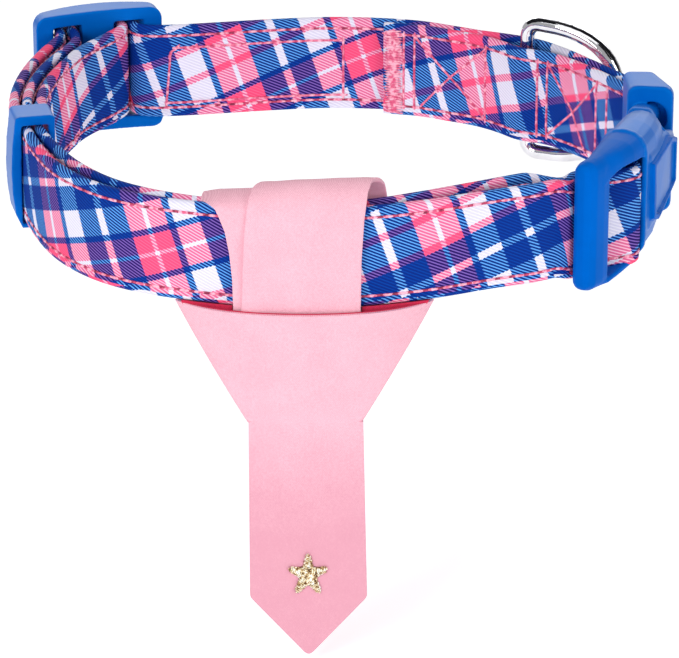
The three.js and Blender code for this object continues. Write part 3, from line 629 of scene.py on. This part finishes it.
def grown(rows, tree, values):
    """The plain mesh that the tree makes from the rows."""
    modifier = rows.modifiers.new("grow", "NODES")
    modifier.node_group = tree
    names = {item.name: item.identifier for item in tree.interface.items_tree if item.in_out == "INPUT"}
    for label, value in values.items():
        modifier[names[label]] = value
    return baked(rows, smooth=False)


def thread_finish(name, light, dark):
    """Twisted thread: its colour shifts between two shades along fine twists."""
    material, shader, start = new_finish(name, 0.55)
    grain = noise(start, THREAD_GRAIN, 2.0)
    tint = ramp(grain, [(0.36, shade(*dark)), (0.62, shade(*light))], "EASE")
    paint(shader, start, Base_Color=tint, Normal=relief(grain, 0.4, 0.0001))
    return material


pink_thread = thread_finish("pink_thread", (255, 188, 208), (228, 86, 132))
# Dark red and rose finishes for the cords under the stitches, which are painted shadow.
seam_shadow_thread = thread_finish("seam_shadow_thread", (204, 62, 106), (130, 20, 62))
box_shadow_thread = thread_finish("box_shadow_thread", (244, 124, 158), (206, 62, 108))
stitches, cord = stitch_tree(), cord_tree()


def long_seams(lift):
    """The two seams on each face, from end to end of the strap."""
    return [
        seam_run([(SEAM_START, z), (strap_at[-1] - SEAM_STOP, z)], side, lift)
        for side in (-1, 1) for z in (-SEAM_HEIGHT, SEAM_HEIGHT)
    ]


def sewn(name, runs, tree, thread, **values):
    """One piece of thread on the strap, grown along its runs."""
    mesh = grown(runs_object(name, runs), tree, {**values, "Thread": thread})
    add_piece(name, mesh, thread, None)


sewn("seam_stitches", long_seams(-0.00002), stitches, pink_thread,
     Pitch=TOP_STITCH, Length=TOP_STITCH * 0.94, Radius=THREAD_RADIUS)
# A dark red cord just under the pink stitches: painted shadow in the needle holes between them and along
# their edges.
sewn("seam_shadow_cord", long_seams(-0.00008), cord, seam_shadow_thread, Radius=THREAD_RADIUS * 0.86)

# Box and cross stitching: (distance along the strap, height) corners, in millimetres, and side.
BOX_RUNS = [
    ([(8.3, -9.6), (8.3, 9.6)], -1), ([(29.3, -9.6), (29.3, 9.6)], -1), ([(5.4, -9.6), (5.4, 9.6)], -1),
    ([(8.6, 9.3), (19, -0.3), (28.6, -9.2)], -1), ([(10.8, -8.6), (19, 0.4), (29.2, 9.5)], -1),
    ([(45.8, -9.6), (45.8, 9.6)], -1), ([(48.9, -9.6), (48.9, 9.6)], -1), ([(67.5, -9.6), (67.5, 9.2)], -1),
    ([(49.2, -9.2), (58, -1.2), (67.2, 9.0)], -1), ([(49.4, 9.2), (58, -0.6), (62.5, -9.4)], -1),
    ([(72, -9), (72, 8.8)], -1),
    ([(199.8, 6.4), (199.8, -8.4)], 1), ([(199.8, -8.4), (245.6, -8.4)], 1),
    ([(246.2, -8.2), (245.6, -2), (245, 5.4), (243.4, 6.6)], 1), ([(243.4, 6.6), (200.4, 6.6)], 1),
    ([(767, -9.3), (788, 9.3)], 1), ([(788, -9.3), (767, 9.3)], 1), ([(766, -9.4), (766, 9.4)], 1),
    ([(789, -9.4), (789, 9.4)], 1),
]
box_runs = [seam_run([(s / 1000, z / 1000) for s, z in corners], side) for corners, side in BOX_RUNS]
sewn("box_stitches", box_runs, stitches, pink_thread,
     Pitch=BOX_STITCH, Length=BOX_STITCH * 0.95, Radius=THREAD_RADIUS * 0.95)
# A rose cord just under the box stitches: painted shadow between and beside them.
sewn("box_shadow_cord", box_runs, cord, box_shadow_thread, Radius=THREAD_RADIUS * 0.8)

# Satin bar tacks: a thread that goes to and fro across the end. Each is (start, end, lowest and
# highest height, side), in millimetres.
TACK_STEP, TACK_RADIUS, TACK_LIFT = 0.00034, 0.00021, 0.00012
TACKS = [(0.3, 5.0, -11.7, 11.4, -1), (531.3, 533.6, -11.2, -5.0, -1)]


def tack_run(start, end, low, high, side, rng):
    count = int((high - low) / 1000 / TACK_STEP)
    corners = []
    for k in range(count):
        z = low / 1000 + TACK_STEP * k
        reach = rng.uniform(-0.0004, 0.0003)
        corners.append(((start if k % 2 else end) / 1000 + reach * (-1 if k % 2 else 1), z))
    return seam_run(corners, side, TACK_LIFT, 0.0007)


tack_dice = np.random.default_rng(4)
tack_runs = [tack_run(*tack, tack_dice) for tack in TACKS]
sewn("bar_tacks", tack_runs, cord, pink_thread, Radius=TACK_RADIUS)

# ---------------------------------------------------------------- side-release buckle
# Two moulded acetal halves, bent to the neck: the hollow half with its strap bar and shell, and
# the solid half with two sprung prongs. Every edge is softly rounded, as moulded plastic is.

MOULD_GRID, MOULD_KEEP = 0.0003, 0.6


def moulded(name, node, passes=4):
    """A moulded body in a CAD node's place: its edges are rounded by an even remesh."""
    shape = merged_copy(node)
    mesh = bpy.data.meshes.new(name)
    shape.to_mesh(mesh)
    shape.free()
    body = linked(name, mesh)
    even = body.modifiers.new("even", "REMESH")
    even.mode = "VOXEL"
    even.voxel_size = MOULD_GRID
    even.use_smooth_shade = True
    soft = body.modifiers.new("soft", "SMOOTH")
    soft.factor = 0.5
    soft.iterations = passes
    fewer = body.modifiers.new("fewer", "DECIMATE")
    fewer.ratio = MOULD_KEEP
    return baked(body)


def moulded_plastic(name, shine, dark, light):
    """Glossy blue acetal: a faint orange-peel skin and slightly uneven polish."""
    material, shader, start = new_finish(name, 0.34)
    shader.inputs["Specular IOR Level"].default_value = shine
    shader.inputs["Specular Tint"].default_value = (0.02, 0.42, 0.95, 1)
    cloud, peel = noise(start, 90.0, 3.0), noise(start, 1400.0, 1.0)
    tint = ramp(cloud, [(0.3, shade(*dark)), (0.7, shade(*light))])
    skin = relief(peel, 0.12, 0.0001)
    paint(shader, start, Base_Color=tint, Roughness=0.3 + cloud * 0.14, Normal=skin)
    return material


acetal = moulded_plastic("blue_acetal", 0.5, (0, 92, 184), (0, 102, 198))
# A copy of the acetal that barely reflects: painted shade on the bar, its arms and the ribs.
shaded_acetal = moulded_plastic("shaded_blue_acetal", 0.04, (0, 90, 184), (0, 98, 198))

# The bar, its arms and the ribs of the finger side take a copy of the acetal that barely reflects, so they
# keep a deep blue where the shell shows a lavender sheen: painted shade.
# The ribs follow a six-sided frame: its corners are (along the buckle, height), in millimetres.
ARM_END, RIB_FOOT, SHELL_RISE = 0.0172, 0.0058, 0.0014
RIB_FRAME = np.array([(20.8, -6.6), (25, -8.3), (47.2, -7.0), (47.2, 4.4), (36.8, 8.4), (20.2, 7.6)]) / 1000
RIB_HALF = 0.0010
sides = np.roll(RIB_FRAME, -1, 0) - RIB_FRAME
outwards = np.column_stack([sides[:, 1], -sides[:, 0]]) / np.linalg.norm(sides, axis=1)[:, None]
socket_mesh = moulded("buckle_socket", "buckle_female")
centres = np.empty(3 * len(socket_mesh.polygons), np.float32)
socket_mesh.polygons.foreach_get("center", centres)
centres = centres.reshape(-1, 3)
socket_along, socket_out = along_buckle(centres[:, :2])
on_side = np.column_stack([socket_along, centres[:, 2] - SHELL_RISE])
beyond = ((on_side[:, None] - RIB_FRAME) * outwards).sum(axis=2).max(axis=1)
shaded_faces = (socket_along < ARM_END) | ((abs(beyond + RIB_HALF / 2) < RIB_HALF) & (socket_out > RIB_FOOT))
socket_mesh.polygons.foreach_set("material_index", shaded_faces.astype(np.int32))
add_piece("buckle_socket", socket_mesh, acetal, "buckle_female", more=[shaded_acetal])
add_piece("buckle_prongs", moulded("buckle_prongs", "buckle_male"), acetal, "buckle_male")

# ---------------------------------------------------------------- adjuster and keeper
# The three-bar adjuster slides on the back of the strap, and the keeper is a plain moulded loop
# that holds the returned ply down at the side.

add_piece("strap_adjuster", moulded("strap_adjuster", "adjuster"), acetal, "adjuster")
add_piece("strap_keeper", moulded("strap_keeper", "keeper"), acetal, "keeper")

# ---------------------------------------------------------------- lead ring
# A D-shaped ring of polished, chromed steel wire, 4 mm thick, welded shut. Its straight bar lies
# between the two plies and the bow swings outwards.


def chrome():
    material, shader, start = new_finish("chromed_steel", 0.1)
    shader.inputs["Metallic"].default_value = 1.0
    smear = noise(start, 260.0, 3.0)
    tint = ramp(smear, [(0.3, shade(214, 214, 218)), (0.7, shade(236, 236, 240))])
    paint(shader, start, Base_Color=tint, Roughness=0.03 + smear * 0.07)
    return material


steel = chrome()
ring_mesh = moulded("lead_ring_wire", "lead_ring", passes=6)
add_piece("lead_ring_wire", ring_mesh, steel, "lead_ring", "ring")

# ---------------------------------------------------------------- tie knot
# Pale pink brushed cotton canvas, folded double. The knot is a band that passes round both plies
# of the strap at the front, over a second turn whose curved edge shows at its left.

KNOT_WALL = 0.0010
PLY_WALL = 0.0008
KNOT_COLUMNS = 44
KNOT_ROWS = 150
# The front's middle line: y = nose + bow * (x - centre)^2.
FRONT_CENTRE, FRONT_NOSE, FRONT_BOW = -0.008, -0.066, 6.3


def front_line(x):
    return FRONT_NOSE + FRONT_BOW * (x - FRONT_CENTRE) ** 2


def turn_path(face, top, radius, back, low, drop):
    """A closed line round the strap, seen along it: (distance from its middle, height)."""
    up = [(face, z) for z in np.linspace(-low, top, 40)]
    over, beneath = np.linspace(0, math.pi, 28), np.linspace(0, math.pi, 16)
    arc = [(face + radius - radius * math.cos(a), top + radius * math.sin(a)) for a in over]
    width = 2 * radius
    down = [
        (face + width + (back - face - width) * t, top - (top + low) * t) for t in np.linspace(0, 1, 40)
    ]
    half = (back - face) / 2
    under = [(face + half + half * math.cos(a), -low - drop * math.sin(a)) for a in beneath]
    line = np.array(up + arc[1:] + down[1:] + under[1:-1])
    closed = np.concatenate([line, line[:1]])
    far = np.concatenate([[0], np.cumsum(np.linalg.norm(np.diff(closed, axis=0), axis=1))])
    at = np.linspace(0, far[-1], KNOT_ROWS, endpoint=False)
    return np.stack([np.interp(at, far, closed[:, k]) for k in range(2)], axis=1)


def edge_at(path, table):
    """The x of an edge along the turn: the table gives (share of the way round, x)."""
    share = np.arange(len(path)) / len(path)
    table = np.array(table)
    return np.interp(share, table[:, 0], table[:, 1])


def grid_mesh(name, grid, close_rows=False, close_columns=False):
    """A sheet through a grid of points, with its unrolled measure in metres as its UV map."""
    rows, columns = grid.shape[:2]
    across = np.linalg.norm(np.diff(grid, axis=1, append=grid[:, :1]), axis=2).mean(axis=0)
    along = np.linalg.norm(np.diff(grid, axis=0, append=grid[:1]), axis=2).mean(axis=1)
    u = np.concatenate([[0], np.cumsum(across)])
    v = np.concatenate([[0], np.cumsum(along)])
    faces, cloth = [], []
    for i in range(rows if close_rows else rows - 1):
        for j in range(columns if close_columns else columns - 1):
            k, m = (j + 1) % columns, (i + 1) % rows
            faces.append((i * columns + j, i * columns + k, m * columns + k, m * columns + j))
            cloth += [(u[j], v[i]), (u[j + 1], v[i]), (u[j + 1], v[i + 1]), (u[j], v[i + 1])]
    mesh = bpy.data.meshes.new(name)
    mesh.from_pydata(grid.reshape(-1, 3).tolist(), [], faces)
    mesh.uv_layers.new(name="cloth").data.foreach_set("uv", np.array(cloth, np.float32).ravel())
    mesh.update()
    return mesh


def thickened(name, mesh, wall, lined=False, soften=0.0003):
    """The sheet given its thickness inwards, with softly rounded edges."""
    sheet = linked(name, mesh)
    thick = sheet.modifiers.new("thick", "SOLIDIFY")
    thick.thickness = wall
    thick.offset = -1
    thick.use_even_offset = True
    if lined:
        thick.material_offset = 1
        mesh.materials.append(None)
        mesh.materials.append(None)
    bevel = sheet.modifiers.new("edge", "BEVEL")
    bevel.width = soften
    bevel.segments = 3
    bevel.limit_method = "ANGLE"
    bevel.angle_limit = math.radians(50)
    return baked(sheet)


# Towards its left end the turn lies lower on the strap: (x, share of its full height).
TURN_SHOULDER = 0.012
TURN_HEIGHT = [
    (-0.0325, 0.05), (-0.0315, 0.15), (-0.0300, 0.34), (-0.0280, 0.49), (-0.0260, 0.55), (-0.0240, 0.61),
    (-0.0220, 0.66), (-0.0190, 0.74), (-0.0175, 0.82), (-0.0160, 0.875), (-0.0103, 0.985), (0, 1.04),
    (0.0060, 1.01), (0.0085, 0.96),
]


def knot_grid(path, left, right, lift=None):
    grid = np.zeros((len(path), KNOT_COLUMNS, 3))
    for i, (dy, z) in enumerate(path):
        x = np.linspace(left[i], right[i], KNOT_COLUMNS)
        out = 0 if lift is None else lift(x)
        centre = path.mean(axis=0)
        away = np.array([dy, z]) - centre
        away /= np.linalg.norm(away)
        grid[i, :, 0] = x
        grid[i, :, 1] = front_line(x) + dy + away[0] * out
        height = z + away[1] * out
        share = np.interp(x, *np.array(TURN_HEIGHT).T)
        above = height - TURN_SHOULDER
        grid[i, :, 2] = np.where(above > 0, TURN_SHOULDER + above * share, height)
    return grid


def turn_sheet(name, path, left, right, lift=None):
    """A turn of the knot between its two edges, closed round the strap."""
    grid = knot_grid(path, edge_at(path, left), edge_at(path, right), lift)
    return grid_mesh(name, grid, close_rows=True)


YARN = 0.00042
# The canvas is a little darker lower down, towards the end of the tail: the darkening's gain with height,
# its base and its most.
DARKEN_GAIN, DARKEN_BASE, DARKEN_MOST = 8, 0.32, -0.24


def canvas(name, light, dark):
    """Brushed cotton canvas: a plain weave of uneven yarns, faint slubs and a soft nap."""
    material, shader, start = new_finish(name, 0.9)
    shader.inputs["Specular IOR Level"].default_value = 0.1
    shader.inputs["Sheen Weight"].default_value = 0.08
    shader.inputs["Sheen Roughness"].default_value = 0.5
    place = start.node("ShaderNodeTexCoord", {}, {}, 3)
    axes = start.node("ShaderNodeSeparateXYZ", {}, {0: place})
    x, z = axes, Strand(start.tree, axes.socket.node.outputs[2])
    drift = noise(start, 420.0, 2.0) * 2.2
    weft = start.sum("SINE", z * (math.tau / YARN) + drift)
    warp = start.sum("SINE", x * (math.tau / YARN) + drift)
    weave = weft * warp * 0.5 + 0.5
    fuzz, cloud = noise(start, 2600.0, 2.0, Roughness=0.7), noise(start, 130.0, 3.0)
    height = weave * 0.40 + fuzz * 0.60
    # Darker lower down, towards the end of the tail.
    darker_below = start.sum("MAXIMUM", start.sum("MINIMUM", z * DARKEN_GAIN + DARKEN_BASE, 0.0), DARKEN_MOST)
    depth = height * 0.82 + cloud * 0.18 + darker_below
    tint = ramp(depth, [(0.28, shade(*dark)), (0.68, shade(*light))])
    paint(shader, start, Base_Color=tint, Normal=relief(height, 0.5, 0.00012))
    return material


cotton = canvas("pink_canvas", (250, 197, 211), (221, 156, 174))
# The inside of the band is a lighter, pinker copy of the canvas: painted light on its shaded inner face.
lit_inner_cotton = canvas("pink_canvas_inside_lit", (255, 200, 218), (255, 170, 194))
lining = canvas("crimson_lining", (226, 54, 88), (176, 30, 66))


BAND_PROUD, PROUD_FADES = 0.0006, (-0.0205, -0.0145)


def band_lift(x):
    """The band stands a little prouder where it lies on the second turn."""
    return BAND_PROUD * (1 - ease(x, *PROUD_FADES))


band_path = turn_path(-0.0031, 0.012, 0.006, 0.0074, 0.0127, 0.0025)
BAND_LEFT = [
    (0, -0.0230), (0.2, -0.0224), (0.31, -0.0216), (0.345, -0.0213), (0.37, -0.0209), (0.39, -0.0205),
    (0.41, -0.0201), (0.43, -0.0194), (0.45, -0.0186), (0.48, -0.0186), (0.55, -0.0203), (0.7, -0.0225),
    (1, -0.0230),
]
BAND_RIGHT = [
    (0, 0.005), (0.16, 0.0052), (0.28, 0.0058), (0.36, 0.0066), (0.42, 0.0077), (0.46, 0.0093),
    (0.5, 0.0105), (0.56, 0.0111), (0.62, 0.0108), (0.85, 0.006), (1, 0.005),
]
band = turn_sheet("knot_band", band_path, BAND_LEFT, BAND_RIGHT, band_lift)
band_mesh = thickened("knot_band", band, KNOT_WALL, lined=True)
knot_band = add_piece("knot_band", band_mesh, cotton, "tie_knot", more=[lit_inner_cotton])

under_path = turn_path(-0.0027, 0.0114, 0.0055, 0.0072, 0.0127, 0.0022)
UNDER_LEFT = [
    (0, -0.0248), (0.1, -0.0250), (0.18, -0.0256), (0.25, -0.0266), (0.3, -0.0281), (0.33, -0.0292),
    (0.36, -0.0302), (0.385, -0.0313), (0.4, -0.0321), (0.42, -0.0323), (0.46, -0.0320), (0.55, -0.0312),
    (0.7, -0.0290), (0.85, -0.026), (1, -0.0248),
]
UNDER_RIGHT = [
    (0, -0.0205), (0.30, -0.0205), (0.38, -0.0180), (0.52, -0.0170), (0.62, -0.0205), (1, -0.0205),
]
under = turn_sheet("knot_under_ply", under_path, UNDER_LEFT, UNDER_RIGHT)
under_mesh = thickened("knot_under_ply", under, PLY_WALL)
knot_under = add_piece("knot_under_ply", under_mesh, cotton, None)

# ---------------------------------------------------------------- tie flap
# A flat-sided sleeve of the same canvas, open at the top, where it holds the foot of the knot,
# with a crimson lining that shows in its mouth. It narrows to the seam of the tail.

FLAP_TOP, FLAP_BOTTOM = -0.0128, -0.0405
FLAP_LEFT, FLAP_RIGHT = (-0.0386, -0.0217), (0.0222, 0.0053)
FLAP_LIP, FLAP_BULGE, FLAP_POUCH, FLAP_THIN = 0.0016, 0.0033, 0.0129, 0.0024
FLAP_WALL = 0.0009
FLAP_ROWS, FLAP_COLUMNS = 44, 60
SEAM_FACE = FRONT_NOSE - FLAP_LIP - FLAP_THIN


def flap_grid():
    grid = np.zeros((FLAP_ROWS, 2 * FLAP_COLUMNS, 3))
    for i, t in enumerate(np.linspace(0, 1, FLAP_ROWS)):
        left = FLAP_LEFT[0] + (FLAP_LEFT[1] - FLAP_LEFT[0]) * t
        right = FLAP_RIGHT[0] + (FLAP_RIGHT[1] - FLAP_RIGHT[0]) * t
        centre, reach = (left + right) / 2, (right - left) / 2
        mouth = max(0, 1 - t * 1.1) ** 0.8
        turn = np.linspace(-1, 1, FLAP_COLUMNS)
        q = np.sin(turn * math.pi / 2)
        x = centre + reach * q
        full = 1 - q ** 4
        face = front_line(x) - FLAP_LIP - FLAP_BULGE * full
        face = face + (SEAM_FACE - face) * min(1, t * 1.05)
        depth = FLAP_THIN + FLAP_POUCH * mouth * full
        middle = face + depth / 2
        half = depth / 2 * np.sqrt(np.clip(1 - q ** 14, 0, 1))
        grid[i, :FLAP_COLUMNS] = np.column_stack([x, middle - half, np.full_like(x, 0)])
        grid[i, FLAP_COLUMNS:] = np.column_stack([x, middle + half, np.full_like(x, 0)])[::-1]
        grid[i, :, 2] = FLAP_TOP + (FLAP_BOTTOM - FLAP_TOP) * t
    return grid


flap_sheet = grid_mesh("tie_flap_sleeve", flap_grid(), close_columns=True)
flap_shape = bmesh.new()
flap_shape.from_mesh(flap_sheet)
bmesh.ops.remove_doubles(flap_shape, verts=flap_shape.verts, dist=2e-6)
rim = [e for e in flap_shape.edges if e.is_boundary]
low_rim = [e for e in rim if all(v.co.z < FLAP_BOTTOM + 1e-6 for v in e.verts)]
bmesh.ops.contextual_create(flap_shape, geom=low_rim)
bmesh.ops.recalc_face_normals(flap_shape, faces=flap_shape.faces)
flap_shape.to_mesh(flap_sheet)
flap_shape.free()
flap_mesh = thickened("tie_flap_sleeve", flap_sheet, FLAP_WALL, lined=True)
tie_flap = add_piece("tie_flap_sleeve", flap_mesh, cotton, "tie_flap", more=[lining])

# The lining's edge stands just above the front ply, and shows under the strap beside the knot.
LINING_WALL, LINING_PROUD, LINING_FOOT = 0.0005, 0.00014, -0.0165
UNDER_STRAP, SIDE_COVER = -0.0122, 0.0015
MOUTH_INSET, STRIP_OUT = 0.0024, 0.0017


def lining_strip(left, right, depth, top):
    """A strip of lining along the front: depth gives its distance before the strap's middle."""
    strip = np.zeros((6, 40, 3))
    for row, z in enumerate(np.linspace(LINING_FOOT, top, 6)):
        t = (z - FLAP_TOP) / (FLAP_BOTTOM - FLAP_TOP)
        sides = [start + (end - start) * t for start, end in (FLAP_LEFT, FLAP_RIGHT)]
        x = np.linspace(max(left, sides[0] + SIDE_COVER), min(right, sides[1] - SIDE_COVER), 40)
        strip[row] = np.column_stack([x, front_line(x) - depth(x), np.full_like(x, z)])
    return strip


def before_flap(x):
    centre, reach = (FLAP_LEFT[0] + FLAP_RIGHT[0]) / 2, (FLAP_RIGHT[0] - FLAP_LEFT[0]) / 2
    return FLAP_LIP + FLAP_BULGE * (1 - ((x - centre) / reach) ** 4) - FLAP_WALL


strips = [
    lining_strip(
        FLAP_LEFT[0] + MOUTH_INSET, FLAP_RIGHT[0] - MOUTH_INSET, before_flap, FLAP_TOP + LINING_PROUD,
    ),
    lining_strip(-0.0372, -0.0250, lambda x: STRIP_OUT, UNDER_STRAP),
    lining_strip(0.0052, 0.0212, lambda x: STRIP_OUT, UNDER_STRAP),
]
lining_shape = bmesh.new()
for k, strip in enumerate(strips):
    lining_shape.from_mesh(grid_mesh(f"lining_{k}", strip))
lining_mesh = bpy.data.meshes.new("flap_lining")
lining_shape.to_mesh(lining_mesh)
lining_shape.free()
lining_mesh = thickened("flap_lining", lining_mesh, LINING_WALL, soften=0.00015)
flap_lining = add_piece("flap_lining", lining_mesh, lining, None)

# ---------------------------------------------------------------- tie tail
# The hanging end: the canvas folded double and pressed, 28 mm wide, with a mitred tip and a small
# embroidered star above it.

TAIL_LEFT, TAIL_RIGHT, TAIL_NARROW = -0.0214, 0.0066, 0.0056
TAIL_CORNER, TAIL_TIP = -0.0860, -0.1019
TAIL_THICK, TAIL_TUCK = 0.0022, 0.0004


def rounded_outline(corners, radii, steps=7):
    """The corners' outline with each corner rounded by its radius."""
    points = []
    corners = [np.array(c, float) for c in corners]
    for i, (corner, radius) in enumerate(zip(corners, radii)):
        before, after = corners[i - 1] - corner, corners[(i + 1) % len(corners)] - corner
        before, after = before / np.linalg.norm(before), after / np.linalg.norm(after)
        if radius <= 0:
            points.append(corner)
            continue
        half_angle = math.acos(np.clip(before @ after, -1, 1)) / 2
        reach = radius / math.tan(half_angle)
        p, q = corner + before * reach, corner + after * reach
        for t in np.linspace(0, 1, steps):
            points.append((1 - t) ** 2 * p + 2 * t * (1 - t) * corner + t * t * q)
    return points


tail_outline = rounded_outline(
    [(TAIL_LEFT, FLAP_BOTTOM + TAIL_TUCK), (TAIL_LEFT, TAIL_CORNER),
     ((TAIL_LEFT + TAIL_RIGHT) / 2, TAIL_TIP),
     (TAIL_RIGHT, TAIL_CORNER), (TAIL_NARROW, FLAP_BOTTOM + TAIL_TUCK)],
    [0.0002, 0.0022, 0.0016, 0.0022, 0.0002],
)
tail_sheet = bpy.data.meshes.new("tie_tail_end")
tail_points = [(x, SEAM_FACE + 0.0001, z) for x, z in tail_outline]
tail_sheet.from_pydata(tail_points, [], [list(range(len(tail_points)))])
tail_mesh = thickened("tie_tail_end", tail_sheet, TAIL_THICK, soften=0.0007)
tie_tail = add_piece("tie_tail_end", tail_mesh, cotton, "tie_tail")

# ---------------------------------------------------------------- star
# A small five-armed star embroidered in gold lurex thread: satin stitches cross each arm from the
# middle to its round tip, over a padded star that is sewn to the tail. The padding's dark brown,
# which shows between and round the arms, is painted shade.

STAR_CENTRE = Vector((-0.0075, -0.0800))
STAR_FACE = SEAM_FACE + 0.0001
STAR_REACH, STAR_WAIST, STAR_PAD = 0.0046, 0.0023, 0.0003
STAR_TALL = 1.17
STAR_PUFF = 0.0006
LUREX_RADIUS = 0.00021
LUREX_STEP = 0.00036
ARM_HALF, ARM_TAPER = 0.0015, 0.00105


def gold_lurex():
    """Metallised thread: pale gold glints, amber and dark brown in fine uneven flecks."""
    material, shader, start = new_finish("gold_lurex", 0.36)
    fleck = noise(start, 1150.0, 4.0, Roughness=0.75)
    stops = [
        (0.38, shade(58, 30, 20)), (0.43, shade(150, 104, 62)), (0.47, shade(220, 190, 130)),
        (0.52, shade(250, 242, 208)), (0.58, shade(255, 255, 250)),
    ]
    crinkle = relief(fleck, 0.6, 0.00012)
    paint(shader, start, Base_Color=ramp(fleck, stops), Metallic=fleck * 0.9, Normal=crinkle)
    return material


def arm_width(t):
    """Half the width of an arm, t being 0 at the star's middle and 1 at its tip."""
    return (ARM_HALF - ARM_TAPER * t) * math.sqrt(max(0.05, 1 - max(0, (t - 0.9) / 0.1) ** 2))


def star_height(z):
    """The star is a little taller than it is wide."""
    return STAR_CENTRE.y + (z - STAR_CENTRE.y) * STAR_TALL


def satin_arm(turn, rng):
    out = Vector((math.sin(turn), math.cos(turn)))
    side = Vector((out.y, -out.x))
    points = []
    rows = int(STAR_REACH / LUREX_STEP)
    for row in range(rows):
        t = row / (rows - 1)
        width = arm_width(t) * rng.uniform(0.9, 1.12)
        bulk = rng.uniform(0.6, 1.3)
        sweep = np.linspace(-1, 1, 7) * (1 if row % 2 else -1)
        for q in sweep:
            flat = STAR_CENTRE + out * STAR_REACH * t + side * width * q + out * LUREX_STEP * 0.5 * abs(q)
            rise = STAR_PAD + STAR_PUFF * (1 - q * q) * (1 - 0.35 * t) * bulk
            points.append((flat.x, STAR_FACE - rise, star_height(flat.y)))
    return points


lurex = gold_lurex()
star_dice = np.random.default_rng(9)
arms = [satin_arm(math.tau * k / 5, star_dice) for k in range(5)]
satin = grown(runs_object("star_satin", arms), cord, {"Radius": LUREX_RADIUS, "Thread": lurex})
add_piece("star_satin", satin, lurex, None)

star_outline = []
for k in range(5):
    for turn, reach in ((math.tau * k / 5, STAR_REACH + 0.0003), (math.tau * (k + 0.5) / 5, STAR_WAIST)):
        star_outline.append(STAR_CENTRE + Vector((math.sin(turn), math.cos(turn))) * reach)
star_outline = rounded_outline(star_outline[::-1], [0.0005, 0.0006] * 5)
star_sheet = bpy.data.meshes.new("star_padding")
star_points = [(x, STAR_FACE - STAR_PAD, star_height(z)) for x, z in star_outline]
star_sheet.from_pydata(star_points, [], [list(range(len(star_points)))])
padding = thickened("star_padding", star_sheet, STAR_PAD * 1.5, soften=0.0001)
# The padding's dark brown is painted shade between and round the gold arms.
star_padding_shade = thread_finish("star_padding_shade", (168, 118, 84), (74, 40, 30))
add_piece("star_padding", padding, star_padding_shade, "tie_star")
